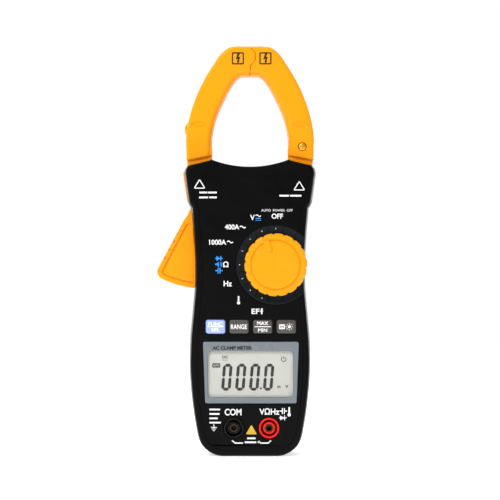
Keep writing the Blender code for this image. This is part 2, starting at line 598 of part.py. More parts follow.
def detent(number, side, finish):
    """A ball at the mouth of the rotor's slot and the small spring that presses it into the notches."""
    ball = [(BALL_RADIUS * math.sin(a), DETENT_Y - BALL_RADIUS * math.cos(a)) for a in np.linspace(0, math.pi, 7)]
    turned(f"detent_ball_{number}", ball, (KNOB_X, KNOB_Z + side * BALL_ORBIT), finish, 10)
    coil = [(KNOB_X + 0.65 * math.cos(a), DETENT_Y + 0.65 * math.sin(a), KNOB_Z + side * (6.8 + 0.22 * a))
            for a in np.linspace(0, math.tau * 2.5, 17)]
    tube(f"detent_spring_{number}", coil, 0.18, finish, (0.0, 0.0, 1.0), 4)


def key(name, x, finish):
    """A keycap with softened edges on a wider flange that keeps it in the case."""
    origin = (x, 0, KEY_Z)
    levels = [(0.0, 1.6, -15.0), (0.0, 1.6, -18.4), (-0.25, 1.4, -18.85), (-0.7, 1.0, -19.0)]
    rings = [[(u, y, v) for u, v in key_outline(x, grow, radius)] for grow, radius, y in levels]
    cap = loft(name, rings, finish, origin)
    join(cap, prism(f"{name}_flange", key_outline(x, 0.9, 2.2), -15.3, -14.6, finish))


def display(finishes):
    x0, x1, z0, z1 = LCD_BOX
    bezel = prism("display_bezel", display_outline(0.0, 2.3), -18.3, -16.5, finishes["bezel"])
    cut(bezel, prism("bezel_opening", rounded(rectangle(*LCD_BOX), 2.6), -30, -10, finishes["bezel"]))
    lens = rounded(rectangle(x0 + GAP, x1 - GAP, z0 + GAP, z1 - GAP), 2.3)
    prism("display_window", lens, -17.9, -16.8, finishes["clear"])
    prism("lcd_panel", rectangle(x0 - 0.9, x1 + 0.8, z0 - 2.9, z1 + 2.5), -16.2, -14.4, finishes["lcd"])
    prism("backlight_panel", rectangle(x0 - 0.3, x1 + 0.2, z0 + 0.1, z1 + 2.0), -14.1, -13.3, finishes["white"])
    prism("lcd_connector", rectangle(-24.0, 24.0, z0 - 2.7, z0 - 0.4), -14.1, -13.2, finishes["rubber"])


def board(finishes):
    outline = [(-24.0, 10.0), (24.0, 10.0), (30.5, 22.0), (31.0, 100.0), (31.0, 157.0), (-31.0, 157.0),
               (-31.0, 100.0), (-30.5, 22.0)]
    pcb = prism("main_board", outline, BOARD_FRONT, BOARD_BACK, finishes["board"])
    for name, x in SOCKETS:
        cut(pcb, rod(f"board_{name}_hole", 7.1, -20, -5, (x, SOCKET_Z), finishes["board"], 24))
    for i, centre in enumerate(CASE_SCREWS[2:]):
        cut(pcb, rod(f"board_post_hole_{i}", 3.7, -20, -5, centre, finishes["board"], 16))
    prism("measuring_chip", rounded(rectangle(0.0, 12.0, 94.0, 106.0), 0.6, 1), BOARD_BACK + GAP, -9.8,
          finishes["rubber"])
    buzzer = rod("buzzer", 6.0, BOARD_BACK + GAP, -8.0, (22.0, 100.0), finishes["rubber"], 24)
    cut(buzzer, rod("buzzer_port", 1.2, -9.0, -5.0, (22.0, 100.0), finishes["rubber"], 12))
    prism("keypad_mat", rounded(rectangle(-30.5, 31.0, 79.5, 91.0), 1.5), -13.6, -13.2, finishes["rubber"])


def sockets(finishes):
    for (name, x), finish in zip(SOCKETS, (finishes["shroud"], finishes["red"])):
        centre = (x, SOCKET_Z)
        turned(f"{name}_jack_shroud", [(6.7, -18.9), (5.5, -18.9), (5.5, -6.0), (3.9, -6.0), (3.9, -18.3),
                                       (2.75, -18.3), (2.75, -4.6), (6.7, -4.6)], centre, finish, 20, closed=True)
        turned(f"{name}_jack_contact", [(0, -6.0), (2.0, -6.0), (2.0, -17.8), (2.45, -17.8), (2.45, -3.2),
                                        (0, -3.2)], centre, finishes["brass"], 16)


def battery(finishes):
    prism("battery", rounded(rectangle(-13.2, 13.2, 32.2, 80.7), 1.5), -1.9, 15.5, finishes["battery"])
    prism("battery_snap", rounded(rectangle(-12.6, 12.6, 81.0, 84.6), 0.8), -0.5, 14.0, finishes["rubber"])


def carry(name, origin, pieces):
    """An empty on a joint's axis that carries the pieces which move together about it or along it."""
    empty = bpy.data.objects.new(name, None)
    empty.location = [value * MM for value in origin]
    bpy.context.scene.collection.objects.link(empty)
    for piece in pieces:
        made = bpy.data.objects[piece]
        made.parent = empty
        made.location = made.location - empty.location


def main():
    for old in list(bpy.data.objects):
        bpy.data.objects.remove(old)
    finishes = {
        "black": material("case_black", (0.006, 0.006, 0.007), 0.42),
        "yellow": material("jaw_yellow", (0.98, 0.43, 0.01), 0.4),
        "steel": material("core_steel", (0.3, 0.3, 0.31), 0.4, 1.0),
        "bright": material("screw_steel", (0.55, 0.55, 0.56), 0.3, 1.0),
        "copper": material("coil_copper", (0.6, 0.22, 0.1), 0.4, 1.0),
        "brass": material("contact_brass", (0.75, 0.52, 0.2), 0.3, 1.0),
        "white": material("inner_white", (0.7, 0.7, 0.68), 0.5),
        "rubber": material("black_rubber", (0.02, 0.02, 0.02), 0.8),
        "board": material("board_green", (0.01, 0.12, 0.04), 0.5),
        "bezel": material("bezel_grey_blue", (0.25, 0.31, 0.36), 0.4),
        "clear": material("window_clear", (0.9, 0.92, 0.92), 0.05),
        "lcd": material("lcd_grey", (0.55, 0.57, 0.5), 0.35),
        "key": material("key_grey", (0.09, 0.085, 0.07), 0.55),
        "blue_key": material("key_lavender", (0.33, 0.4, 0.82), 0.55),
        "shroud": material("shroud_black", (0.01, 0.01, 0.01), 0.4),
        "red": material("shroud_red", (0.75, 0.02, 0.01), 0.4),
        "battery": material("battery_case", (0.12, 0.12, 0.14), 0.4, 0.6),
    }
    front_case(finishes["black"])
    rear_case(finishes["black"])
    battery_cover(finishes["black"])
    screw("battery_cover_screw", (0, COVER_SCREW_Z), 2.6, 1.0, 18.1, 17.3, 6.8, finishes["bright"])
    for i, centre in enumerate(CASE_SCREWS):
        screw(f"case_screw_{i + 1}", centre, 2.6, 1.2, 15.3, 13.8, -9.0, finishes["bright"])
    lever(finishes)
    fixed_jaw(finishes)
    rod("jaw_pivot_pin", PIN_RADIUS, -14.7, 14.6, (PIVOT_X, PIVOT_Z), finishes["bright"], 20)
    return_spring(finishes["bright"])
    selector(finishes)
    for name, x in zip(KEY_NAMES, KEY_XS):
        key(name, x, finishes["blue_key" if name == "function_key" else "key"])
    display(finishes)
    board(finishes)
    sockets(finishes)
    battery(finishes)
    carry("jaw_axis", (PIVOT_X, 0, PIVOT_Z), ("moving_jaw_front", "moving_jaw_rear", "moving_jaw_core",
                                              "moving_jaw_coil", "moving_jaw_screw", "jaw_pivot_bush"))
    carry("selector_axis", (KNOB_X, 0, KNOB_Z), ("selector_knob", "switch_rotor", "detent_ball_1",
                                                 "detent_ball_2", "detent_spring_1", "detent_spring_2"))
    carry("cover_axis", (0, CASE_BACK, COVER_SCREW_Z), ("battery_cover", "battery_cover_screw"))


main()
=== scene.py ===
# %% [markdown]
# # A clamp meter, piece by piece
# The meter's solids come in as a fixed frame: every solid already has its true size and place. This lesson
# gives them their surface. Each visible moulding is made again as a fine mesh from a few formulas and rides on
# the body that it belongs to, and every piece gets a finish made of nodes. Lengths are in millimetres until
# a mesh is made.

# %% Load the frame
import math

import bmesh
import bpy
import numpy as np
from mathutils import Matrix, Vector


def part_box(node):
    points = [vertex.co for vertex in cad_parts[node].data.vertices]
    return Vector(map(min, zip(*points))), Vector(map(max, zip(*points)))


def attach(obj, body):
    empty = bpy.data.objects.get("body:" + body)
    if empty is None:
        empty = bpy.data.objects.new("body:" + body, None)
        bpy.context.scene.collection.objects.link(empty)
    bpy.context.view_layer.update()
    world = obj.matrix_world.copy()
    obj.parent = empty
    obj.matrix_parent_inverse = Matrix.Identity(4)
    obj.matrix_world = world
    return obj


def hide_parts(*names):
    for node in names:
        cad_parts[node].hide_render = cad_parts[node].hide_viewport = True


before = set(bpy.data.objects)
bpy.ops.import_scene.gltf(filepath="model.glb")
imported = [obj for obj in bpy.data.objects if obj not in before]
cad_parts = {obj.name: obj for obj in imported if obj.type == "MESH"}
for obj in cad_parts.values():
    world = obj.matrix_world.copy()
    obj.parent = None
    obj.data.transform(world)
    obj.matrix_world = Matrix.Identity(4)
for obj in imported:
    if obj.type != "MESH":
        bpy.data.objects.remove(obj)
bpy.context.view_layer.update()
MM = 0.001


def box_mm(node):
    """Lowest and highest corner of a solid, in millimetres."""
    low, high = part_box(node)
    return np.array(low) / MM, np.array(high) / MM


# %% [markdown]
# ## The camera and the studio
# The meter is seen square from the front, from far enough away that its sides hardly converge, so a long lens
# is used, level with the middle of the picture. The floor is a plain pale disc and the light comes from large
# soft panels. The two behind draw the thin bright line down each edge of the black case.

# %% Camera
PICTURE_WIDTH, PICTURE_MIDDLE = 327.9, 135.5  # how much of the face's plane fits across the picture, and its height
CAMERA_DISTANCE = 1250.0
face_y = box_mm("front_case")[0][1]
camera_data = bpy.data.cameras.new("camera")
camera_data.sensor_width = 36.0
camera_data.lens = 36.0 * (CAMERA_DISTANCE + face_y) / PICTURE_WIDTH
camera_data.clip_start = 0.05
camera = bpy.data.objects.new("camera", camera_data)
camera.location = (0.0, -CAMERA_DISTANCE * MM, PICTURE_MIDDLE * MM)
camera.rotation_euler = (math.pi / 2, 0.0, 0.0)
bpy.context.scene.collection.objects.link(camera)
bpy.context.scene.camera = camera
bpy.context.scene.view_settings.view_transform = "Standard"
print("lens", round(camera_data.lens, 1), "mm")


# %% Light and floor
def panel(name, place, size, power):
    """A square soft light, in metres and watts, that faces the middle of the meter."""
    light = bpy.data.lights.new(name, "AREA")
    light.shape = "SQUARE"
    light.size = size
    light.energy = power
    made = bpy.data.objects.new(name, light)
    made.location = place
    aim = Vector((0, 0, PICTURE_MIDDLE * MM)) - Vector(place)
    made.rotation_euler = aim.to_track_quat("-Z", "Y").to_euler()
    made.visible_camera = False
    bpy.context.scene.collection.objects.link(made)


for light in (("key_light", (-0.55, -0.95, 1.0), 0.5, 13.5), ("top_light", (0.1, 0.1, 1.4), 0.9, 10.0),
              ("left_strip", (-0.75, 0.85, 0.2), 0.8, 6.5), ("right_strip", (0.75, 0.85, 0.2), 0.8, 6.5)):
    panel(*light)

world = bpy.data.worlds.new("studio")
bpy.context.scene.world = world
world.use_nodes = True
sky = world.node_tree.nodes
dim = sky["Background"]
dim.inputs["Color"].default_value = (1.0, 1.0, 1.0, 1.0)
dim.inputs["Strength"].default_value = 0.34
bright = sky.new("ShaderNodeBackground")
bright.inputs["Color"].default_value = (1.0, 1.0, 1.0, 1.0)
path = sky.new("ShaderNodeLightPath")
choose = sky.new("ShaderNodeMixShader")
wires = world.node_tree.links
wires.new(path.outputs["Is Camera Ray"], choose.inputs["Fac"])
wires.new(dim.outputs["Background"], choose.inputs[1])
wires.new(bright.outputs["Background"], choose.inputs[2])
wires.new(choose.outputs["Shader"], sky["World Output"].inputs["Surface"])

# %% Floor
FLOOR_RADIUS, FLOOR_DROP, FLOOR_POINTS = 1.6, -0.0002, 96  # metres; it lies just under the foot
angle = np.linspace(0, math.tau, FLOOR_POINTS, endpoint=False)
floor_mesh = bpy.data.meshes.new("floor")
rim = [FLOOR_RADIUS * np.cos(angle), FLOOR_RADIUS * np.sin(angle), np.full(FLOOR_POINTS, FLOOR_DROP)]
floor_mesh.from_pydata(np.stack(rim, -1).tolist(), [], [list(range(FLOOR_POINTS))])
floor = bpy.data.objects.new("floor", floor_mesh)
bpy.context.scene.collection.objects.link(floor)
print("floor", 2 * FLOOR_RADIUS, "m across")

# %% [markdown]
# ## Sums on sockets
# A finish is a small graph of nodes. Written as sums it stays readable, so one class wraps a socket and
# lets + - and * add the Math nodes, and one method adds any other node.


# %% The shader helper
class Wire:
    """An output socket that can stand in a sum with numbers and other wires."""

    def __init__(self, finish, socket):
        self.finish, self.socket = finish, socket

    def sum(self, operation, first, second):
        return self.finish.node("ShaderNodeMath", {"operation": operation}, {0: first, 1: second})

    def __add__(self, other):
        return self.sum("ADD", self, other)

    def __rsub__(self, other):
        return self.sum("SUBTRACT", other, self)

    def __mul__(self, other):
        return self.sum("MULTIPLY", self, other)

    __radd__ = __add__
    __rmul__ = __mul__


class Finish:
    """A material whose nodes are added one call at a time; constants go straight onto the shader."""

    def __init__(self, name, **constants):
        self.material = bpy.data.materials.new(name)
        self.material.use_nodes = True
        self.tree = self.material.node_tree
        self.shader = self.tree.nodes["Principled BSDF"]
        for socket, value in constants.items():
            self.shader.inputs[socket.replace("_", " ")].default_value = value
        self.place = self.node("ShaderNodeTexCoord", outlet="Object")

    def node(self, kind, settings=None, sockets=None, outlet=0):
        """Adds a node: its settings first, then the values or wires of its sockets."""
        made = self.tree.nodes.new(kind)
        for name, value in (settings or {}).items():
            if name == "stops":
                for element, (position, shade) in zip(made.color_ramp.elements, value):
                    element.position, element.color = position, (shade, shade, shade, 1.0)
            else:
                setattr(made, name, value)
        for name, value in (sockets or {}).items():
            self.feed(made.inputs[name], value)
        return Wire(self, made.outputs[outlet])

    def feed(self, socket, value):
        if isinstance(value, Wire):
            self.tree.links.new(value.socket, socket)
        else:
            socket.default_value = value

    def noise(self, size, detail=2.0, roughness=0.5, place=None):
        """Soft random values from 0 to 1 whose spots are about size millimetres across."""
        return self.node("ShaderNodeTexNoise", None, {"Vector": place or self.place, "Scale": 1.0 / (size * MM),
                                                      "Detail": detail, "Roughness": roughness})

    def step(self, value, low, high):
        """0 below low and 1 above high, straight in between."""
        return self.node("ShaderNodeValToRGB", {"stops": ((low, 0.0), (high, 1.0))}, {"Fac": value})

    def mix(self, factor, first, second):
        colours = {0: factor, 6: (*first, 1.0) if isinstance(first, tuple) else first,
                   7: (*second, 1.0) if isinstance(second, tuple) else second}
        return self.node("ShaderNodeMix", {"data_type": "RGBA"}, colours, outlet=2)

    def colour(self, value):
        self.feed(self.shader.inputs["Base Color"], value)

    def roughness(self, value):
        self.feed(self.shader.inputs["Roughness"], value)

    def relief(self, height, depth):
        """Raises the surface by height, a wire from 0 to 1, times depth in millimetres."""
        bump = self.node("ShaderNodeBump", None, {"Strength": 1.0, "Distance": depth * MM, "Height": height},
                         outlet="Normal")
        self.feed(self.shader.inputs["Normal"], bump)


# %% [markdown]
# ## The plastics
# Both mouldings come out of a tool with a fine spark-eroded texture, so they shine softly rather than like
# a mirror. Three layers of noise do it: a grain of a quarter of a millimetre for the relief, a slow drift of a
# few centimetres in the colour, and handling marks in the gloss, which hands polish in patches.


# %% Moulded plastic
def shade(colour, share):
    return tuple(min(1.0, channel * share) for channel in colour)


def moulded(name, colour, roughness, grain=0.25, depth=0.012, drift=0.06, polish=0.1, **constants):
    """Satin plastic: its grain, its slow drift of colour and the patches that handling has polished."""
    finish = Finish(name, **constants)
    slow = finish.noise(38.0, 3.0)
    patches = finish.step(finish.noise(11.0, 5.0, 0.6), 0.42, 0.66)
    scuffs = finish.step(finish.noise(1.6, 3.0, 0.7), 0.66, 0.74)
    finish.colour(finish.mix(slow, shade(colour, 1 - drift), shade(colour, 1 + drift)))
    finish.roughness(roughness - patches * polish + scuffs * 0.06)
    finish.relief(finish.noise(grain, 2.0, 0.6), depth)
    return finish.material


CASE_BLACK = (0.0016, 0.0016, 0.0018)
JAW_YELLOW = (0.9, 0.315, 0.003)
finishes = {
    "case": moulded("case_black_plastic", CASE_BLACK, 0.38, drift=0.25, Specular_IOR_Level=0.08),
    "yellow": moulded("jaw_yellow_plastic", JAW_YELLOW, 0.36, depth=0.006, drift=0.025, Specular_IOR_Level=0.16),
    "key_grey": moulded("key_warm_grey", (0.052, 0.049, 0.042), 0.5, grain=0.18, depth=0.01),
    "key_lavender": moulded("key_lavender_blue", (0.33, 0.41, 0.84), 0.6, grain=0.18, depth=0.01),
    "border": moulded("window_border_grey_blue", (0.155, 0.18, 0.2), 0.35, depth=0.003, drift=0.04),
    "socket_black": moulded("socket_black", (0.003, 0.003, 0.003), 0.3, depth=0.004, Specular_IOR_Level=0.15),
    "socket_red": moulded("socket_red", (0.78, 0.012, 0.004), 0.34, depth=0.006, drift=0.04, Specular_IOR_Level=0.25),
    "rubber": moulded("inner_black_rubber", (0.02, 0.02, 0.02), 0.75, depth=0.02),
    "acetal": moulded("natural_acetal", (0.72, 0.72, 0.68), 0.4, depth=0.005, drift=0.03),
}
print(len(finishes), "plastics")

# %% [markdown]
# ## Inks
# The legends are screen-printed. Ink lies a few hundredths of a millimetre proud, has tiny pinholes and is
# duller than the case, so each print is a real thin mesh with its own finish.


# %% Printing inks
def ink(name, colour):
    """Screen ink: an even colour that thins out in specks."""
    finish = Finish(name)
    specks = finish.step(finish.noise(0.22, 2.0), 0.3, 0.42)
    finish.colour(finish.mix(specks, shade(colour, 0.72), colour))
    finish.roughness(0.55 + finish.noise(3.0) * 0.1)
    finish.relief(finish.noise(0.15), 0.004)
    return finish.material


for name, colour in (("white_ink", (0.86, 0.86, 0.86)), ("blue_ink", (0.012, 0.26, 0.83)),
                     ("black_ink", (0.004, 0.004, 0.004)), ("amber_ink", (0.62, 0.38, 0.02))):
    finishes[name] = ink(name, colour)
print("4 inks")

# %% The floor's finish
paper = Finish("floor_paper", Roughness=0.8, Specular_IOR_Level=0.05, Emission_Strength=0.6)
tone = paper.mix(paper.noise(250.0), (0.95, 0.95, 0.95), (0.98, 0.98, 0.98))
paper.colour(tone)
paper.feed(paper.shader.inputs["Emission Color"], tone)
floor_mesh.materials.append(paper.material)

# %% [markdown]
# ## Tools for surfaces
# A moulding is a stack of closed rings of points with a skin between them. The rings come from formulas as
# whole arrays, so the steps can be as fine as the curve asks for. Openings are cut with tools that flare
# towards the face along a quarter circle, which leaves the small round edge that a moulding has.


# %% Curves
def spline(keys, steps):
    """A smooth curve through the keys: cubic pieces whose slopes weigh the chords on both sides."""
    keys = np.array(keys, float)
    runs = np.diff(keys, axis=0)
    chords = np.linalg.norm(runs, axis=1)[:, None]
    speeds = runs / chords
    share = chords[:-1] / (chords[:-1] + chords[1:])
    slopes = np.vstack([speeds[:1], speeds[:-1] * (1 - share) + speeds[1:] * share, speeds[-1:]])
    t = np.linspace(0, 1, steps, endpoint=False)[None, :, None]
    start, end, first, last, run = (a[:, None] for a in (keys[:-1], keys[1:], slopes[:-1], slopes[1:], chords))
    curve = ((2 * t**3 - 3 * t**2 + 1) * start + (t**3 - 2 * t**2 + t) * run * first
             + (3 * t**2 - 2 * t**3) * end + (t**3 - t**2) * run * last)
    return np.vstack([curve.reshape(-1, keys.shape[1]), keys[-1:]])


def arc(centre, radius, start, end, steps):
    """Points on a circle, centre + radius (cos a, sin a), between two angles in degrees."""
    angles = np.radians(np.linspace(start, end, steps + 1))
    return np.stack([centre[0] + radius * np.cos(angles), centre[1] + radius * np.sin(angles)], -1)


def rounded(corners, radius, steps=8):
    """The polygon with an arc at each corner; a radius of 0 leaves its corner sharp."""
    corners = np.array(corners, float)
    outline = []
    for i, r in enumerate(np.broadcast_to(radius, len(corners))):
        back, ahead = corners[i - 1] - corners[i], corners[(i + 1) % len(corners)] - corners[i]
        back, ahead = back / np.linalg.norm(back), ahead / np.linalg.norm(ahead)
        half = math.acos(np.clip(back @ ahead, -1, 1)) / 2
        if r == 0 or half > 1.55:
            outline.append(corners[i:i + 1])
            continue
        middle = (back + ahead) / np.linalg.norm(back + ahead)
        centre = corners[i] + middle * r / math.sin(half)
        spoke = corners[i] + back * r / math.tan(half) - centre
        turn = (math.pi - 2 * half) * (1 if back[0] * ahead[1] < back[1] * ahead[0] else -1)
        angle = np.linspace(0, turn, steps + 1)[:, None]
        outline.append(centre + np.cos(angle) * spoke + np.sin(angle) * np.array((-spoke[1], spoke[0])))
    return np.vstack(outline)


def rectangle(x0, x1, z0, z1):
    return np.array([(x0, z0), (x1, z0), (x1, z1), (x0, z1)], float)


def grow(outline, amount):
    """Moves each point of a closed outline outwards along the middle of its two sides' normals."""
    ahead = np.roll(outline, -1, axis=0) - outline
    ahead /= np.linalg.norm(ahead, axis=1)[:, None]
    area = np.sum(outline[:, 0] * np.roll(outline[:, 1], -1) - outline[:, 1] * np.roll(outline[:, 0], -1))
    normal = np.stack([ahead[:, 1], -ahead[:, 0]], -1) * np.sign(area)
    middle = normal + np.roll(normal, 1, axis=0)
    middle /= np.sum(middle**2, axis=1)[:, None] / 2
    return outline + amount * middle


# %% Solids from rings
def solid(name, rings, ends=True):
    """A skin over rings of points (ring, point, xyz) in millimetres, closed by a face at each end."""
    rings = np.asarray(rings, float)
    rows, columns = rings.shape[:2]
    row, column = np.arange(rows if not ends else rows - 1)[:, None], np.arange(columns)[None, :]
    ahead, above = (column + 1) % columns, (row + 1) % rows
    quads = np.stack([row * columns + column, row * columns + ahead, above * columns + ahead,
                      above * columns + column], -1).reshape(-1, 4)
    faces = quads.tolist()
    if ends:
        faces += [list(range(columns))[::-1], list(range((rows - 1) * columns, rows * columns))]
    mesh = bpy.data.meshes.new(name)
    mesh.from_pydata((rings.reshape(-1, 3) * MM).tolist(), [], faces)
    bm = bmesh.new()
    bm.from_mesh(mesh)
    bmesh.ops.remove_doubles(bm, verts=bm.verts, dist=1e-7)
    bmesh.ops.dissolve_degenerate(bm, edges=bm.edges, dist=1e-8)
    bmesh.ops.recalc_face_normals(bm, faces=bm.faces)
    bm.to_mesh(mesh)
    bm.free()
    made = bpy.data.objects.new(name, mesh)
    bpy.context.scene.collection.objects.link(made)
    return made


def level(outline, y):
    """An outline of (x, z) points laid at a depth y."""
    return np.stack([outline[:, 0], np.full(len(outline), y), outline[:, 1]], -1)


EDGE_STEPS = 5  # facets of every small rounded edge


def plate(name, outline, front, back, soft=0.0, soft_back=0.0):
    """An outline extruded from y = front to y = back, its edges drawn in along quarter circles."""
    angles = np.radians(np.linspace(90, 0, EDGE_STEPS + 1))
    rings = [level(grow(outline, -soft * (1 - math.cos(a))), front + soft * (1 - math.sin(a)))
             for a in (angles if soft else [0.0])]
    rings += [level(grow(outline, -soft_back * (1 - math.cos(a))), back - soft_back * (1 - math.sin(a)))
              for a in (angles[::-1] if soft_back else [0.0])]
    return solid(name, rings)


def flare(outline, face, floor, radius):
    """A cutter that is the outline at its floor and grows by the radius where it meets the face.

    The growth is radius (1 - cos a) at a depth of radius (1 - sin a) under the face.
    """
    inward = np.sign(floor - face)
    rings = [level(outline, floor)]
    rings += [level(grow(outline, radius * (1 - math.cos(a))), face + inward * radius * (1 - math.sin(a)))
              for a in np.radians(np.linspace(0, 90, EDGE_STEPS + 1))]
    rings.append(level(grow(outline, radius), face - inward * 12))
    return solid("cutter", rings)


def turned(name, profile, centre, steps=96):
    """A closed profile of (radius, y) points carried round the line along Y through the centre."""
    profile = np.array(profile, float)
    angle = np.linspace(0, math.tau, steps, endpoint=False)[:, None]
    x = centre[0] + profile[:, 0] * np.cos(angle)
    z = centre[1] + profile[:, 0] * np.sin(angle)
    return solid(name, np.stack([x, np.broadcast_to(profile[:, 1], x.shape), z], -1), ends=False)


def disc(radius, centre, steps=72):
    return arc(centre, radius, 0, 360 - 360 / steps, steps - 1)


# %% Cutting, joining and fitting
def shape(piece, joins=(), cuts=(), keeps=()):
    """Joins, cuts and keeps in turn with Booleans, bakes the result and removes the tools."""
    tools = [(tool, "UNION") for tool in joins] + [(tool, "DIFFERENCE") for tool in cuts]
    tools += [(tool, "INTERSECT") for tool in keeps]
    for tool, operation in tools:
        step = piece.modifiers.new(operation.lower(), "BOOLEAN")
        step.operation, step.solver, step.object = operation, "MANIFOLD", tool
    graph = bpy.context.evaluated_depsgraph_get()
    mesh = bpy.data.meshes.new_from_object(piece.evaluated_get(graph))
    piece.modifiers.clear()
    piece.data = mesh
    for tool, _ in tools:
        bpy.data.objects.remove(tool)
    return piece


def fit(piece, finish, body, nodes=(), angle=30.0):
    """Gives a finished piece its finish and its body, and lets it stand for the solids it replaces."""
    piece.data.materials.clear()
    piece.data.materials.append(finishes[finish])
    piece.data.shade_smooth()
    piece.data.set_sharp_from_angle(angle=math.radians(angle))
    even = piece.modifiers.new("even_normals", "WEIGHTED_NORMAL")
    even.keep_sharp = True
    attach(piece, body)
    if nodes:
        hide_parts(*nodes)
    piece.data.calc_loop_triangles()
    print(piece.name, len(piece.data.loop_triangles), "triangles on", body)
    return piece


# %% [markdown]
# ## The housing
# Two moulded shells meet on a line round the side. In plan the housing has a tight front edge, sides that
# swell a little and a rounder back. From the front it has a rounded foot, a belly, a waist for the hand, and
# above the waist a guard that stops a finger from reaching the jaws. Each height gives one ring of the
# section, and the rings are computed all together.

# %% The housing's outline
CASE_FRONT, CASE_BACK, WALL, SEAM_GAP = -18.0, 18.0, 2.4, 0.15
SIDE_KEYS = [(20.2, 0), (23.0, 0.6), (25.6, 1.8), (29.6, 4.4), (32.0, 7.0), (33.4, 9.6), (34.5, 12.8), (35.5, 17.8),
             (36.9, 26), (38.8, 41), (39.9, 58), (39.5, 76), (37.8, 96), (36.5, 112), (36.4, 126), (37.2, 143),
             (38.8, 163)]
GUARD = [(38.8, 163), (40.1, 165), (41.0, 167), (43.6, 186), (43.0, 188.8), (41.6, 190.6), (41.6, 200)]
TOP_CORNER, TOP_PEAK, TOP_MIDDLE = (41.5, 190.6), (24.8, 194.7), 190.2
side_line = np.vstack([spline(SIDE_KEYS, 12)[:-1], rounded(GUARD, (0, 0.5, 3.5, 4.0, 1.0, 1.0, 0), 5)])


def half_width(z):
    """Half the width at each height, read off the side line."""
    return np.interp(z, side_line[:, 1], side_line[:, 0])


def foot_inset(z, reach=4.0, depth=3.5):
    """How far the front and back draw in near the foot, as a quarter circle in section."""
    return depth * (1 - np.sqrt(1 - np.clip(1 - z / reach, 0, 1) ** 2))


def case_rings(z, inset=0.0):
    """One ring for each height: front arc, bulge of the side, back arc, and their mirror image.

    The front edge is tight beside the display and broad on the guard; the inset draws all of it in by a wall.
    """
    z = np.asarray(z, float)[:, None]
    wide = half_width(np.maximum(z - inset, 0)) - inset
    front, back = CASE_FRONT + inset + foot_inset(z), CASE_BACK - inset - foot_inset(z)
    front_round = np.interp(z, (160.0, 168.0), (2.2, 3.6)) - inset * 0.4
    back_round, lip = 7.0 - inset, 0.9
    turn = np.radians(np.linspace(0, 90, 9))[None, :]
    t = np.linspace(0, 1, 7)[None, 1:]
    x = [wide - lip - front_round * (1 - np.sin(turn)), wide - lip * (1 - t) ** 2,
         wide - back_round * (1 - np.cos(turn))]
    y = [front + front_round * (1 - np.cos(turn)), front + front_round + t * (-6.0 - front - front_round),
         back - back_round * (1 - np.sin(turn))]
    x, y = np.hstack(x), np.hstack(y)
    x, y = np.hstack([x, -x[:, ::-1]]), np.hstack([y, y[:, ::-1]])
    return np.stack([x, y, np.broadcast_to(z, x.shape)], -1)


heights = np.hstack([4.0 * (1 - np.cos(np.radians(np.linspace(0, 90, 9)))), np.linspace(4.6, 12, 10),
                     np.linspace(13, 162, 100), np.linspace(163, 191, 50), 197])
print("housing", len(heights), "rings of", case_rings(heights[:1]).shape[1], "points")

# %% The shaped top edge and the ways for the jaws
PIVOT = (-30.0, 175.0)
TRIGGER_RADIUS, SLOT_HALF_DEPTH = 65.0, 9.2


def above_top(front):
    """A cutter over the top edge, which dips in the middle; its edge on each face is softened."""
    half, rise = TOP_PEAK[0], TOP_PEAK[1] - TOP_MIDDLE
    radius = (half**2 + rise**2) / (2 * rise)
    spread = math.degrees(math.asin(half / radius))
    dip = arc((0, TOP_MIDDLE + radius), radius, 270 - spread, 270 + spread, 48)
    x, z = TOP_CORNER
    outline = np.vstack([[(-60, 230), (-60, z), (-x, z)], dip, [(x, z), (60, z), (60, 230)]])
    return flare(outline, CASE_FRONT if front else CASE_BACK, 4.0 if front else -4.0, 0.8)


def lever_way():
    """The slot in the left side and the top through which the lever swings."""
    floor = arc(PIVOT, TRIGGER_RADIUS + 0.8, 218, 269, 40)
    outline = np.vstack([[(-82.0, 215.0)], floor, [(-31.0, 186.0), (-24.8, 186.0), (-24.8, 215.0)]])
    return plate("cutter", outline, -SLOT_HALF_DEPTH, SLOT_HALF_DEPTH)


def case_half(name, front):
    """Half of the housing: the outer rings less the hollow, the other half and the ways for the jaws.

    The front half carries a lip that closes the joint from inside. It stops short of the lever, whose way it
    would narrow.
    """
    half = solid(name, case_rings(heights))
    hollow = solid("cutter", case_rings(np.linspace(3.0, 186.5, 60), WALL))
    whole = rectangle(-80, 80, -20, 230)
    other = plate("cutter", whole, *((-SEAM_GAP, 40.0) if front else (-40.0, SEAM_GAP)))
    tongue = plate("cutter", rectangle(26.1, 37.2, 182, 215), -SLOT_HALF_DEPTH, SLOT_HALF_DEPTH)
    shape(half, cuts=[hollow, lever_way(), tongue, above_top(front), other])
    if front:
        lip = solid("lip", case_rings(np.linspace(2.6, 180, 60), 2.2))
        inside = solid("cutter", case_rings(np.linspace(3.4, 179, 60), 3.0))
        ends = [plate("cutter", whole, *span) for span in ((-40.0, -1.0), (1.0, 40.0))]
        lever_side = plate("cutter", rectangle(-80, -15, 98, 200), -20, 20)
        shape(lip, cuts=[inside, *ends, lever_side])
        shape(half, joins=[lip])
    return half


# %% [markdown]
# ## The front shell's openings
# The front shell has the round well of the selector, the window's opening, four holes for the keys and two
# for the sockets, and a fine line runs round its face. Screws join the halves from behind, so none shows.

# %% Front shell
KNOB = (16.9, 125.8)
WELL_RADIUS, WELL_FLOOR, SHAFT_HOLE = 26.3, -17.0, 6.6
KEY_Z, KEY_SIZE = 85.2, (12.7, 9.0)
KEYS = {"function_key": -22.6, "range_key": -7.15, "max_min_key": 8.3, "hold_key": 23.8}
DISPLAY_X, DISPLAY_TOP, DISPLAY_FOOT = 0.6, (31.5, 75.3), (30.0, 34.9)
SOCKET_Z, SOCKETS = 18.75, {"com": -10.6, "volt": 12.5}


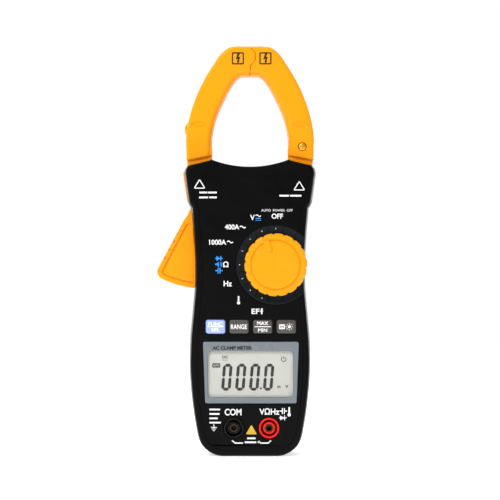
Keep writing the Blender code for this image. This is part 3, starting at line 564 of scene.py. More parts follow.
def key_outline(x, more, radius):
    half_x, half_z = KEY_SIZE[0] / 2 + more, KEY_SIZE[1] / 2 + more
    return rounded(rectangle(x - half_x, x + half_x, KEY_Z - half_z, KEY_Z + half_z), radius)


def display_outline(inset, radius):
    """The window border's outline, a little narrower at its foot."""
    (top, z_top), (foot, z_foot) = DISPLAY_TOP, DISPLAY_FOOT
    return rounded([(DISPLAY_X - foot + inset, z_foot + inset), (DISPLAY_X + foot - inset, z_foot + inset),
                    (DISPLAY_X + top - inset, z_top - inset), (DISPLAY_X - top + inset, z_top - inset)], radius)


front = case_half("front_shell", True)
openings = [flare(disc(WELL_RADIUS, KNOB, 144), CASE_FRONT, WELL_FLOOR, 0.6),
            plate("cutter", disc(SHAFT_HOLE, KNOB), -30, -10),
            flare(display_outline(-0.3, 1.6), CASE_FRONT, -10, 0.3)]
openings += [flare(key_outline(x, 0.4, 1.9), CASE_FRONT, -10, 0.35) for x in KEYS.values()]
openings += [flare(disc(7.0, (x, SOCKET_Z)), CASE_FRONT, -10, 0.3) for x in SOCKETS.values()]
z = np.hstack([np.linspace(6.5, 12, 12), np.linspace(15, 160, 60), np.linspace(163, 184, 12)])
edge = np.stack([half_width(z) - 5.0 - 3.0 * np.exp(-(z - 6.5) / 4.0), z], -1)
face_line = rounded(np.vstack([edge, (edge * (-1, 1))[::-1]]), (3.0, *[0] * (2 * len(z) - 2), 3.0), 6)
rings = [level(grow(face_line, out), y) for out, y in ((0.16, -20), (0.16, -17.99), (0, -17.84), (-0.16, -17.99),
                                                       (-0.16, -20))]
openings.append(solid("cutter", rings, ends=False))
fit(shape(front, cuts=openings), "case", "case", ["front_case"])

# %% [markdown]
# ## The back shell and the battery cover
# The back shell is the other half of the same rings. It has a pocket for the battery cover, which is cut
# from the same outer form so that it carries on the curve of the back, a hole for the cover's screw, and four
# deep holes for the screws that hold the housing together. Five grooves give the thumb a grip on the cover.

# %% Back shell
COVER, COVER_SCREW = (-17.0, 17.0, 16.5, 89.0), (0.0, 21.5)
BAY = (-14.6, 14.6, 27.0, 85.0)
CASE_SCREWS = [(-10.0, 181.0), (10.0, 181.0), (-25.0, 16.0), (25.0, 16.0)]
x0, x1, z0, z1 = COVER
seat = rounded(rectangle(x0 - 0.3, x1 + 0.3, z0 - 0.3, z1 + 0.3), 2.3)
bay = rectangle(*BAY)
tray = plate("tray", grow(bay, 1.4), -4.4, 15.6)
screw_posts = [plate("post", disc(3.9, centre, 32), 1.0, 15.6) for centre in CASE_SCREWS]
head_holes = [flare(disc(3.0, centre, 32), CASE_BACK, 13.5, 0.3) for centre in CASE_SCREWS]
back = shape(case_half("back_shell", False), joins=[tray, *screw_posts],
             cuts=[plate("cutter", disc(1.25, COVER_SCREW, 32), 6.0, 20.0), flare(seat, CASE_BACK, 15.8, 0.25),
                   plate("cutter", bay, -3.0, 30.0), *head_holes])
fit(back, "case", "case", ["rear_case"])

# %% Battery cover
cover = solid("battery_lid", case_rings(np.linspace(10.0, 95.0, 60)))
grips = [flare(rounded(rectangle(-8, 8, z, z + 1.2), 0.55), CASE_BACK, 17.4, 0.3) for z in 72.0 + 2.6 * np.arange(5)]
blank = plate("blank", rounded(rectangle(*COVER), 2.0), 16.1, 17.75)
brim = plate("blank_face", rounded(rectangle(*COVER), 2.0), 16.9, 18.4, 0.0, 0.65)
shape(blank, joins=[brim])
shape(cover, keeps=[blank])
shape(cover, cuts=grips + [flare(disc(2.9, COVER_SCREW, 48), CASE_BACK, 17.0, 0.2),
                           plate("cutter", disc(1.6, COVER_SCREW, 24), 10, 30)])
fit(cover, "case", "cover", ["battery_cover"])

# %% [markdown]
# ## The jaws
# Each jaw arm is one section carried along two curves, the outer and the inner edge. The section has a broad
# round on the inner edge and a smaller one on the outer, so the light runs along the arm as it does on the
# real moulding. The two tips interlock: one line, drawn in by the gap, parts them. Below, a flat neck goes
# down into the housing, and on the left it carries on round the pivot to the trigger.

# %% The arms
JAW_OUTER = [(42, 195), (42, 213), (39, 227), (32.8, 243), (23.6, 258.8), (19, 265.2), (14, 269.1), (9, 270),
             (4, 270), (-6, 270)]
JAW_INNER = [(25.2, 198.2), (25.2, 210), (22.4, 222.5), (17, 235.2), (10.8, 246.2), (8.8, 248.8), (6.4, 250.4),
             (4.2, 250.8), (2, 250.8), (-6, 250.8)]
SEAM = [(0, 275), (0, 269.8), (3.5, 265.6), (3.5, 260.8), (0.4, 257.4), (-0.2, 250.8), (-0.2, 245)]
JAW_DEPTH, NECK_DEPTH, HALF_GAP = 10.0, 8.8, 0.15
INNER_ROUND, OUTER_ROUND, SEAM_STEP = 4.2, 2.0, 0.9
JAW_SCREW = (34.6, 203.7)


def arm_rings(side, face):
    """The arm's section at each step: inner round, flat face, outer round, set between the two curves.

    A point of the section at distance d across the arm lies at inner + d (outer - inner) / width.
    """
    outer, inner = spline(JAW_OUTER, 14), spline(JAW_INNER, 14)
    width = np.linalg.norm(outer - inner, axis=1)[:, None]
    across = (outer - inner) / width
    turn = np.radians(np.linspace(0, 90, 9))[None, :]
    fixed = np.zeros_like(width)
    d = np.hstack([fixed, fixed + INNER_ROUND * (1 - np.cos(turn)), width - OUTER_ROUND * (1 - np.sin(turn)), width])
    depth = np.hstack([[HALF_GAP], JAW_DEPTH - INNER_ROUND * (1 - np.sin(turn[0])),
                       JAW_DEPTH - OUTER_ROUND * (1 - np.cos(turn[0])), [HALF_GAP]])
    x = side * (inner[:, :1] + d * across[:, :1])
    z = inner[:, 1:] + d * across[:, 1:]
    return np.stack([x, np.broadcast_to(face * depth, x.shape), z], -1)


def slab(name, outline, face, inner, outer, soft):
    """A plate on one side of the middle plane, soft at its outer edge only."""
    return plate(name, outline, *sorted((face * inner, face * outer)), *((soft, 0.0) if face < 0 else (0.0, soft)))


def arm(name, side, face, neck):
    """One half of a jaw: the arm and its neck joined, then parted along the seam, which steps aside at the back."""
    shift = side * HALF_GAP + (SEAM_STEP if face > 0 else 0.0)
    corners = [(x + shift, z) for x, z in SEAM] + [(-side * 45, 245), (-side * 45, 275)]
    seam = rounded(corners, (0, 0, 1.2, 1.2, 1.5, 0, 0, 0, 0), 5)
    joint = slab("neck", neck, face, HALF_GAP, NECK_DEPTH, 0.5)
    seam_tool = flare(seam, face * JAW_DEPTH, face * -2.0, 0.3)
    return shape(solid(name, arm_rings(side, face)), joins=[joint], cuts=[seam_tool])


def ledge_groove(side, face):
    """The undercut that sets the arm off from its neck, along the arm's sloping lower edge."""
    strip = np.array([(24.0, 198.0), (43.0, 194.4), (43.0, 192.6), (24.0, 196.2)]) * (side, 1)
    return flare(strip, face * NECK_DEPTH, face * (NECK_DEPTH - 0.9), 0.5)


def finger_groove(side, face):
    """A shallow lens-shaped groove: its edges are two half sine waves."""
    t = np.linspace(0, math.pi, 33)
    x = 33.8 - 5.2 * np.cos(t)
    above, below = (np.stack([x, 218.5 + s * 1.5 * np.sin(t)], -1) for s in (1, -1))
    lens = np.vstack([above, below[-2:0:-1]])
    return flare(lens * (side, 1), face * JAW_DEPTH, face * (JAW_DEPTH - 0.5), 0.4)


# %% The right jaw, fixed in the housing
neck_right = rounded([(25.2, 203.0), (25.2, 195.0), (26.5, 195.0), (26.5, 172.0), (36.8, 172.0), (36.8, 192.1),
                      (41.4, 191.0), (41.4, 203.0)], (0, 0, 0, 2.0, 2.0, 0, 0.6, 0))
for face, word in ((-1, "front"), (1, "rear")):
    half = arm(f"right_jaw_{word}", 1, face, neck_right)
    holes = [finger_groove(1, face), ledge_groove(1, face)]
    if face < 0:
        holes.append(flare(disc(2.9, JAW_SCREW, 48), -JAW_DEPTH, -8.0, 0.3))
    fit(shape(half, cuts=holes), "yellow", "case", [f"fixed_jaw_{word}"])

# %% [markdown]
# ## The lever
# The left jaw and the trigger are one lever. Its outline is a neck, a hub round the pivot and the trigger,
# whose gripping edge is straight and whose foot is an arc about the pivot. A groove sets off a panel on each
# face of the trigger, and four notches along the gripping edge keep the thumb from slipping.

# %% The lever's outline
TIP, TIP_RADIUS = (-56.3, 121.1), 5.0
EDGE_TOP, EDGE_ANGLE = (-43.7, 155.3), 151.9
lean = math.degrees(math.atan2(TIP[1] - PIVOT[1], TIP[0] - PIVOT[0])) % 360
out = np.array((math.cos(math.radians(EDGE_ANGLE)), math.sin(math.radians(EDGE_ANGLE))))
down = np.array((-out[1], out[0]))
hub = arc(PIVOT, 11.0, 50, -50, 24)
foot = arc(PIVOT, TRIGGER_RADIUS, 267.3, lean, 24)
tip = arc(TIP, TIP_RADIUS, lean, EDGE_ANGLE, 12)[1:]
shoulder = rounded([tip[-1], EDGE_TOP, (-41.4, 158.3), (-39.2, 163.5), (-41.6, 168.0), (-44.3, 186.0),
                    (-41.4, 191.5), (-41.4, 203.0), (-25.2, 203.0)], (0, 1.5, 2.0, 1.5, 2.0, 1.2, 0.8, 0, 0), 6)
neck_left = [(-25.2, 203.0), (-25.2, 195.0), (-26.5, 195.0), (-26.5, 186.5)]
lever_outline = np.vstack([neck_left, hub, [(-31.0, 150.0)], foot, tip, shoulder[1:-1]])
print("lever outline", len(lever_outline), "points")


def trigger_ring(inset, corner):
    """The trigger's own outline drawn in by an inset, from the edge's top round the tip to the panel's foot."""
    top = np.array(EDGE_TOP) - inset * out - down * 1.0
    low = arc(TIP, TIP_RADIUS - inset, EDGE_ANGLE, lean, 10)
    base = arc(PIVOT, TRIGGER_RADIUS - inset, lean, 263.5, 20)[1:]
    return np.vstack([rounded(np.vstack([[base[-1]], [(-37.4, 150.0)], [top], [low[0]]]), (0, 2.5, corner, 0),
                              6)[1:-1], low, base])


# %% The left jaw
for face, word in ((-1, "front"), (1, "rear")):
    half = arm(f"left_jaw_{word}", -1, face, lever_outline)
    ridge = rounded([(-40.5, 211.4), (-42.2, 211.4), (-43.1, 212.9), (-43.1, 217.2), (-41.4, 219.7), (-39.5, 219.7)],
                    (0, 0.5, 1.0, 2.0, 1.0, 0), 5)
    shape(half, joins=[slab("ridge", ridge, face, HALF_GAP, 6.0, 0.8)])
    holes = [finger_groove(-1, face), ledge_groove(-1, face),
             flare(trigger_ring(3.0, 2.0), face * NECK_DEPTH, face * (NECK_DEPTH - 1.1), 0.5),
             plate("cutter", disc(3.6, PIVOT, 48), -20, 20)]
    for i in range(4):
        middle = np.array(EDGE_TOP) + down * (9.5 + 6.15 * i)
        notch = [middle + down * a + out * b for a, b in ((-0.75, 2.0), (0.75, 2.0), (0.75, -1.4), (-0.75, -1.4))]
        holes.append(flare(rounded(notch, (0, 0, 0.6, 0.6), 5), face * NECK_DEPTH, face * 5.0, 0.35))
    if face > 0:
        holes.append(flare(disc(2.9, (-JAW_SCREW[0], JAW_SCREW[1]), 48), JAW_DEPTH, 8.0, 0.3))
    shape(half, cuts=holes)
    pad = slab("pad", trigger_ring(3.9, 1.5), face, 5.0, NECK_DEPTH - 0.3, 0.6)
    fit(shape(half, joins=[pad]), "yellow", "moving_jaw", [f"moving_jaw_{word}"])

# %% [markdown]
# ## The selector
# The knob is turned, then fluted: its radius falls along a row of shallow scallops, eighteen round the rim,
# which fade out over the rounded shoulder. A fine ring is cut into its face, and a raised bar points at the
# chosen function. It is moulded in the jaws' yellow, so its finish is a copy of theirs under its own name.

# %% The knob's finish
finishes["knob"] = finishes["yellow"].copy()
finishes["knob"].name = "knob_yellow_plastic"

# %% The knob
FLUTES, FLUTE_DEPTH, FLUTE_PHASE = 18, 0.95, math.radians(14)
KNOB_FRONT, POINTER_FACE = -25.05, -26.05
shoulder_turn = np.radians(np.linspace(0, 90, 10))
rim_radius = np.hstack([[19.9, 20.6], np.full(10, 20.6), 18.7 + 1.9 * np.cos(shoulder_turn), [17.05]])
rim_y = np.hstack([[-17.35, -17.6], np.linspace(-18.2, -22.9, 10), -22.9 - 1.95 * np.sin(shoulder_turn), [-24.85]])
face_radius = np.array([16.6, 16.35, 15.85, 15.6, 15.35, 15.0, 12.0, 8.0, 4.0, 1.0])
face_y = np.array([-24.75, -24.15, -24.15, -24.75, -24.95, -25.02, -25.04, -25.05, -25.05, KNOB_FRONT])


def knob_rings():
    """Radius r(a) = R - depth * w * (1 - |sin(9 (a - phase))|)^3, where the weight w fades over the shoulder."""
    radius, y = np.hstack([rim_radius, face_radius])[:, None], np.hstack([rim_y, face_y])[:, None]
    weight = np.clip((radius - 18.0) / 2.4, 0, 1)
    angle = np.linspace(0, math.tau, FLUTES * 16, endpoint=False)[None, :]
    scallop = (1 - np.abs(np.sin((angle - FLUTE_PHASE) * FLUTES / 2))) ** 3
    r = radius - FLUTE_DEPTH * weight * scallop
    return np.stack([KNOB[0] + r * np.cos(angle), np.broadcast_to(y, r.shape), KNOB[1] + r * np.sin(angle)], -1)


pointing = math.radians(22.5)
up = np.array((-math.sin(pointing), math.cos(pointing)))
right = np.array((up[1], -up[0]))
corners = [KNOB + up * u + right * v for u, v in ((10.8, -2.0), (8.5, 0.0), (10.8, 2.0), (16.9, 2.0), (16.9, -2.0))]
pointer = plate("pointer", rounded(corners, (1.6, 1.2, 1.6, 0.7, 0.7)), POINTER_FACE, -24.0, 0.6)
stem = plate("stem", disc(6.0, KNOB), -18.0, -15.5)
knob = shape(solid("dial_knob", knob_rings()), joins=[pointer, stem])
fit(knob, "knob", "selector", ["selector_knob"], 35)

# %% [markdown]
# The well round the knob has a grey ring, parted into fields by fine lines. The ring is its own thin washer,
# and the lines are shallow grooves in it, so that they catch the light as the real ones do.

# %% The dial's ring
FIELD = 22.5


def on_dial(degrees, points):
    """Points given as (outwards, sideways) from the knob's centre, turned to an angle round it."""
    turn = math.radians(degrees)
    ahead, aside = np.array((math.cos(turn), math.sin(turn))), np.array((-math.sin(turn), math.cos(turn)))
    return np.array([KNOB + ahead * u + aside * v for u, v in points])


washer = turned("dial_ring", [(7.2, WELL_FLOOR + 0.5), (26.1, WELL_FLOOR + 0.5), (26.1, WELL_FLOOR - 0.55),
                              (25.6, WELL_FLOOR - 0.7), (25.2, WELL_FLOOR - 0.62), (21.2, WELL_FLOOR - 0.1),
                              (7.2, WELL_FLOOR - 0.1)], KNOB, 144)
inside_case = solid("cutter", case_rings(np.linspace(90.0, 160.0, 60), 0.25))
shape(washer, keeps=[inside_case])
divider = ((21.6, -0.16), (25.3, -0.16), (25.3, 0.16), (21.6, 0.16))
dividers = [plate("cutter", on_dial(FIELD * (i + 0.5), divider), WELL_FLOOR - 2, WELL_FLOOR) for i in range(16)]
finishes["dial_grey"] = moulded("dial_dark_teal_grey", (0.006, 0.0095, 0.0115), 0.35, depth=0.006, drift=0.15,
                                 Specular_IOR_Level=0.12)
fit(shape(washer, cuts=dividers), "dial_grey", "case")

# %% [markdown]
# ## The keys
# Four rubber-feel keycaps stand in the holes. Each top is slightly crowned and its edge rolls over, which a
# stack of rings that shrink and rise gives: a quarter ellipse at the edge, then a gentle parabola.

# %% Keycaps
def keycap(name, x):
    roll = np.radians(np.linspace(0, 90, 8))
    inset = np.hstack([[0, 0], 1.1 * (1 - np.cos(roll)), np.linspace(1.5, 4.2, 7)])
    rise = np.hstack([[-14.6, -17.0], -17.95 - 0.9 * np.sin(roll), -18.85 - 0.12 * np.sin(np.linspace(0.3, 1.57, 7))])
    outline = key_outline(x, 0.0, 1.6)
    middle = np.array((x, KEY_Z))
    half = np.array(KEY_SIZE) / 2
    rings = [level(middle + (outline - middle) * (half - i) / half, y) for i, y in zip(inset, rise)]
    return solid(name, rings)


for name, x in KEYS.items():
    colour = "key_lavender" if name == "function_key" else "key_grey"
    cap = keycap(name.replace("_key", "_keycap"), x)
    flange = plate("flange", key_outline(x, 0.9, 2.2), -15.3, -14.5)
    fit(shape(cap, joins=[flange]), colour, name, [name])

# %% [markdown]
# ## The display
# A grey-blue border frames the window. Behind the clear window lies the liquid crystal panel: a pale grey
# green-tinted glass with dark segments just in front of it. The digits lean, and their strokes are cut to
# points where they meet.

# %% Border, window and panel
LCD, BORDER_FACE = (-27.7, 28.2, 38.9, 69.0), -18.28
border = plate("window_border", display_outline(0.0, 1.3), BORDER_FACE, -16.5, 0.45)
window_hole = flare(rounded(rectangle(*LCD), 2.6), BORDER_FACE, -16.0, 0.5)
fit(shape(border, cuts=[window_hole]), "border", "case", ["display_bezel"])


def clear_window():
    """A thin clear sheet: mostly transparent, with the gloss of the front face on top."""
    finish = Finish("window_clear_acrylic", Roughness=0.06, IOR=1.45)
    finish.colour((0.3, 0.32, 0.32, 1.0))
    smear = finish.step(finish.noise(14.0, 3.0, 0.6), 0.45, 0.75)
    finish.feed(finish.shader.inputs["Alpha"], 0.03 + smear * 0.015)
    finish.roughness(0.05 + smear * 0.08)
    return finish.material


def panel_glass():
    """The panel's reflector: a pale grey with a fine sparkle and a slow drift towards green."""
    finish = Finish("panel_pale_grey")
    drift = finish.noise(30.0, 2.0)
    sparkle = finish.noise(0.3, 2.0, 0.7)
    base = finish.mix(drift, (0.5, 0.505, 0.46), (0.56, 0.565, 0.52))
    finish.colour(finish.mix(sparkle * 0.25, base, (0.46, 0.465, 0.42)))
    finish.roughness(0.42 + sparkle * 0.1)
    finish.relief(sparkle, 0.002)
    return finish.material


finishes["window"], finishes["panel"] = clear_window(), panel_glass()
x0, x1, z0, z1 = LCD
window = plate("window_sheet", rounded(rectangle(x0 + 0.3, x1 - 0.3, z0 + 0.3, z1 - 0.3), 2.3), -17.9, -16.8, 0.15)
fit(window, "window", "case", ["display_window"])
glass = plate("panel_sheet", rectangle(x0 - 0.9, x1 + 0.8, z0 - 2.9, z1 + 2.5), -16.2, -14.4, 0.1)
fit(glass, "panel", "case", ["lcd_panel"])

# %% [markdown]
# ## The test sockets
# Each socket is a deep ring-shaped well: a thick collar, a groove for the plug's sleeve and a tube round the
# brass contact. Both are one turned profile with rounded lips.

# %% Sockets
profile = np.vstack([[(6.7, -4.6), (6.7, -18.6)], arc((6.35, -18.55), 0.35, 0, -90, 5),
                     arc((5.85, -18.55), 0.35, -90, -180, 5), [(5.5, -6.0), (3.9, -6.0)],
                     [(3.9, -18.0)], arc((3.6, -18.0), 0.3, 0, -90, 5), arc((3.05, -18.0), 0.3, -90, -180, 5),
                     [(2.75, -4.6)]])
for name, x in SOCKETS.items():
    colour = "black" if name == "com" else "red"
    ring = turned(f"{colour}_socket", profile, (x, SOCKET_Z))
    fit(ring, f"socket_{colour}", "case", [f"{name}_jack_shroud"])

# %% [markdown]
# ## Legends
# The function names round the dial, the socket names and the key names are printed. Lettering starts as a
# text curve with a little thickness, becomes a mesh, and only then gets its size and place. Symbols are
# outlines: a bar, a ring, a triangle. The meter's rating lines are not copied: plain bars keep their place.

# %% Printing tools
INK = 0.04


def lettering(text, x, z, height, width=None, face=CASE_FRONT, weight=0.0):
    """Raised letters whose box is centred on (x, z), as tall as asked for and stretched to the width."""
    curve = bpy.data.curves.new("text", "FONT")
    curve.body, curve.extrude, curve.offset, curve.resolution_u = text, 0.5, weight, 4
    holder = bpy.data.objects.new("text", curve)
    bpy.context.scene.collection.objects.link(holder)
    mesh = bpy.data.meshes.new_from_object(holder.evaluated_get(bpy.context.evaluated_depsgraph_get()))
    bpy.data.objects.remove(holder)
    points = np.empty(len(mesh.vertices) * 3)
    mesh.vertices.foreach_get("co", points)
    points = points.reshape(-1, 3)
    low, high = points.min(0), points.max(0)
    tall = height / (high[1] - low[1])
    wide = width / (high[0] - low[0]) if width else tall
    depth = face + INK / 2 - INK * (points[:, 2] > 0) * 1.5
    placed = np.stack([x + (points[:, 0] - (low[0] + high[0]) / 2) * wide, depth,
                       z + (points[:, 1] - (low[1] + high[1]) / 2) * tall], -1)
    mesh.vertices.foreach_set("co", (placed * MM).ravel())
    made = bpy.data.objects.new(text, mesh)
    bpy.context.scene.collection.objects.link(made)
    return made


def mark(outline, face=CASE_FRONT):
    return plate("mark", np.asarray(outline, float), face - INK, face + INK / 2)


def bar(x, z, width, height, face=CASE_FRONT, tilt=0.0):
    """A flat printed bar, turned by the tilt in degrees."""
    c, s = math.cos(math.radians(tilt)), math.sin(math.radians(tilt))
    corners = rectangle(-width / 2, width / 2, -height / 2, height / 2)
    return mark(corners @ np.array(((c, s), (-s, c))) + (x, z), face)


def frame_mark(outline, line, face=CASE_FRONT):
    """A printed line of one width that follows a closed outline on its inner side."""
    inner = grow(outline, -line)
    rings = [level(outline, face + INK / 2), level(outline, face - INK), level(inner, face - INK),
             level(inner, face + INK / 2)]
    return solid("mark", rings, ends=False)


def wave(x, z, width, line=0.55):
    """One period of a sine wave as a ribbon of even width, the sign for alternating current."""
    t = np.linspace(-1, 1, 25)
    middle = np.stack([x + t * width / 2, z + 0.16 * width * np.sin(-t * math.pi)], -1)
    slope = np.gradient(middle, axis=0)
    normal = np.stack([-slope[:, 1], slope[:, 0]], -1) / np.linalg.norm(slope, axis=1)[:, None]
    return mark(np.vstack([middle - normal * line / 2, (middle + normal * line / 2)[::-1]]))


def bolt(x, z, height, face=CASE_FRONT):
    """A zigzag bolt, the sign for electricity, on a grid two and a half wide and five tall."""
    grid = [(1.0, 5), (2.3, 5), (1.6, 3.25), (2.5, 3.35), (1.85, 1.1), (2.3, 1.1), (1.3, -0.1), (0.5, 1.2),
            (0.95, 1.15), (1.15, 2.2), (0.1, 2.0)]
    return mark((np.array(grid) - (1.25, 2.5)) * (height / 5) + (x, z), face)


def thermometer(x, z, height):
    stem = rounded(rectangle(x - 0.17 * height / 2, x + 0.17 * height / 2, z - height * 0.3, z + height / 2), 0.4)
    return [mark(stem), mark(disc(height * 0.18, (x, z - height * 0.32), 32), CASE_FRONT - 0.004)]


def diode(x, z, size):
    triangle = [(x - 0.35 * size, z - 0.33 * size), (x + 0.2 * size, z), (x - 0.35 * size, z + 0.33 * size)]
    return [mark(triangle), bar(x + 0.24 * size, z, 0.11 * size, 0.66 * size, CASE_FRONT - 0.002),
            bar(x, z, size, 0.12 * size, CASE_FRONT - 0.004)]


def capacitor(x, z, size):
    return [bar(x + s * 0.13 * size, z, 0.13 * size, 0.8 * size) for s in (-1, 1)] + [
        bar(x + s * 0.33 * size, z, 0.34 * size, 0.14 * size, CASE_FRONT - 0.002) for s in (-1, 1)]


def printed(name, pieces, finish, body="case"):
    """Joins the printed pieces of one ink into one mesh."""
    bm = bmesh.new()
    for piece in pieces:
        bm.from_mesh(piece.data)
        bpy.data.objects.remove(piece)
    mesh = bpy.data.meshes.new(name)
    bm.to_mesh(mesh)
    bm.free()
    made = bpy.data.objects.new(name, mesh)
    bpy.context.scene.collection.objects.link(made)
    return fit(made, finish, body)


# %% Round the dial
BOLD = 0.02
words = (("OFF", 17.9, 157.7, 3.4, 7.5), ("V", 1.6, 156.8, 3.5, 3.0), ("400A", -11.8, 150.6, 3.4, 9.4),
         ("1000A", -21.2, 140.6, 3.4, 11.1), ("Ω", -15.9, 126.1, 3.7, 3.6), ("Hz", -14.6, 113.5, 3.6, 5.4),
         ("EF", 3.6, 95.3, 3.4, 5.2), ("COM", -11.1, 29.2, 4.4, 11.0), ("VΩHz", 12.7, 29.6, 4.3, 13.1))
white = [lettering(*word, weight=BOLD) for word in words]
white += [lettering("AUTO  POWER  OFF", 17.7, 161.5, 1.6, 20.7), wave(5.4, 158.0, 3.4), wave(-4.8, 150.6, 3.8, 0.65),
          wave(-13.1, 140.8, 3.8, 0.65), bolt(7.6, 95.2, 4.0), *thermometer(-7.5, 102.6, 5.5)]
wedge = ((24.1, -0.28), (24.1, 0.28), (23.0, 0.0))
white += [plate("mark", on_dial(90 + FIELD * i, wedge), WELL_FLOOR - 0.66, WELL_FLOOR - 0.2) for i in range(8)]
blue = [bar(5.4, 156.2, 3.4, 0.55), *(bar(5.4 + 1.25 * i, 155.0, 0.9, 0.5) for i in (-1, 0, 1)),
        *diode(-20.3, 130.0, 4.9), *capacitor(-20.3, 122.0, 4.9), bar(-22.4, 126.1, 1.0, 1.0),
        mark([(-22.1, 125.6), (-20.4, 124.4), (-20.4, 127.8), (-22.1, 126.6)])]
for radius in (1.2, 2.0):
    curve = arc((-20.6, 126.1), radius, -48, 48, 10)
    blue.append(mark(np.vstack([curve, arc((-20.6, 126.1), radius + 0.42, 48, -48, 10)])))

# %% Round the sockets and on the guard
white += [*capacitor(21.9, 29.9, 4.9), *thermometer(25.7, 29.4, 6.2), *diode(21.5, 25.4, 4.8)]
white += [bar(-23.1 + shift, z, width, 1.05) for z, width, shift in
          ((30.9, 7.0, 0.0), (28.0, 6.6, -0.2), (25.1, 5.4, -0.8), (22.3, 7.4, 0.2))]
white += [bar(-23.7, z, *size) for z, size in ((20.2, (0.5, 1.8)), (19.1, (4.0, 0.5)), (18.1, (2.6, 0.5)),
                                               (17.1, (1.2, 0.5)))]
white += [bar(0.9, 12.0, 5.4, 1.1), bar(0.3, 9.4, 7.6, 1.1), bar(5.9, 9.2, 1.6, 0.45), bar(5.9, 10.0, 1.6, 0.45)]
for side in (-1, 1):
    sweep = np.vstack([[(5.0, 8.9)], arc((9.6, 11.1), 2.2, 270, 325, 8), [(12.5, 10.7), (11.9, 11.2)],
                       arc((9.6, 11.1), 1.4, 325, 270, 8), [(5.0, 9.7)]])
    white.append(mark(sweep * (side, 1) + (1.0 + side * 0.6, -0.4)))
white += [frame_mark(rounded([(x - 4.0, z), (x + 4.0, z), (x, z + 6.4)], 0.6), 0.6) for x, z in
          ((-33.1, 175.8), (32.3, 174.6))]
white += [bar(x, z, width, 1.1) for x, z, width in ((-30.6, 173.2, 5.2), (-24.6, 173.2, 5.6), (-30.4, 170.0, 5.8),
                                                    (-24.3, 170.0, 5.0), (22.4, 171.1, 6.2), (30.0, 171.1, 7.4))]
amber = [mark(rounded([(-2.8, 14.6), (4.6, 14.6), (0.9, 21.0)], 0.5))]
printed("white_legends", white, "white_ink")
printed("blue_legends", blue, "blue_ink")
printed("amber_triangle", amber, "amber_ink")

# %% On the keys
KEY_FACE = -18.965
for name, words in (("function", (("FUNC", 0, 1.75, 9.2, 2.6), ("SEL", 0, -1.9, 5.8, 2.3))),
                    ("range", (("RANGE", -0.1, 0, 10.6, 3.1),)),
                    ("max_min", (("MAX", 0, 2.35, 7.4, 2.4), ("MIN", 0, -2.3, 6.0, 2.4)))):
    x = KEYS[f"{name}_key"]
    pieces = [lettering(word, x + dx, KEY_Z + dz, tall, wide, KEY_FACE, BOLD) for word, dx, dz, wide, tall in words]
    if len(words) > 1:
        pieces.append(bar(x, KEY_Z + 0.05, 10.8, 0.55, KEY_FACE))
    printed(f"{name}_keycap_print", pieces, "white_ink", f"{name}_key")
x = KEYS["hold_key"]
pieces = [mark(rounded(rectangle(x - 4.7, x - 0.9, KEY_Z - 1.55, KEY_Z + 1.55), 0.25, 3), KEY_FACE),
          mark(disc(0.95, (x + 2.0, KEY_Z), 32), KEY_FACE)]
for turn in np.arange(0, 360, 45):
    a = math.radians(turn)
    pieces.append(bar(x + 2.0 + 1.95 * math.cos(a), KEY_Z + 1.95 * math.sin(a), 1.0, 0.35, KEY_FACE, turn))
printed("hold_keycap_print", pieces, "white_ink", "hold_key")
letter = [bar(x - 2.8 + side * 0.8, KEY_Z, 0.5, 2.0, KEY_FACE - 0.03) for side in (-1, 1)]
letter.append(bar(x - 2.8, KEY_Z, 1.5, 0.45, KEY_FACE - 0.03))
printed("hold_keycap_letter", letter, "black_ink", "hold_key")

# %% [markdown]
# ## What the display shows
# The readout is four zeros and a point. A seven-segment zero is six strokes; each is a long bar with pointed
# ends, and the whole figure leans. The strokes hang just in front of the panel.

# %% Readout
PANEL_FACE = -16.24
SLANT, STROKE, DIGIT, DIGIT_FOOT = 1.45 / 17.6, 2.0, (6.3, 17.7), 44.1


def segment(start, end, gap=0.1):
    """A stroke between two points with 45 degree pointed ends, before it is sheared to the digits' lean."""
    start, end = np.array(start, float), np.array(end, float)
    ahead = (end - start) / np.linalg.norm(end - start)
    aside = np.array((-ahead[1], ahead[0])) * STROKE / 2
    start, end = start + ahead * gap, end - ahead * gap
    point = ahead * STROKE / 2
    return np.array([start, start + point - aside, end - point - aside, end, end - point + aside,
                     start + point + aside])


wide, tall = DIGIT[0] - STROKE, DIGIT[1] - STROKE
strokes = [((0, 0), (wide, 0)), ((0, tall), (wide, tall)), ((0, 0), (0, tall / 2)), ((0, tall / 2), (0, tall)),
           ((wide, 0), (wide, tall / 2)), ((wide, tall / 2), (wide, tall))]
black = []
for left in (-18.0, -8.85, 0.3, 9.45):
    for start, end in strokes:
        outline = segment(start, end) + (left, DIGIT_FOOT)
        outline[:, 0] += (outline[:, 1] - DIGIT_FOOT) * SLANT
        black.append(mark(outline, PANEL_FACE))
black += [mark(rounded(rectangle(6.5, 7.7, 44.0, 45.2), 0.25, 3), PANEL_FACE),
          lettering("DC", -16.3, 65.2, 1.9, 3.8, PANEL_FACE, 0.03), bar(-17.3, 63.2, 1.1, 0.4, PANEL_FACE),
          bar(-15.6, 63.2, 1.1, 0.4, PANEL_FACE), lettering("m", 19.0, 45.6, 1.6, 2.1, PANEL_FACE, 0.03),
          lettering("V", 24.2, 45.9, 2.2, 2.2, PANEL_FACE, 0.03),
          mark(rounded(rectangle(-24.8, -19.5, 58.3, 61.1), 0.5), PANEL_FACE)]
power = np.vstack([arc((22.1, 63.8), 1.75, 120, 420, 30), arc((22.1, 63.8), 1.3, 420, 120, 30)])
black += [mark(power, PANEL_FACE), bar(22.1, 64.8, 0.4, 1.9, PANEL_FACE)]
printed("readout", black, "black_ink")
printed("readout_auto", [lettering("AUTO", -22.15, 59.7, 1.3, 4.2, PANEL_FACE - 0.03, 0.03)], "panel")
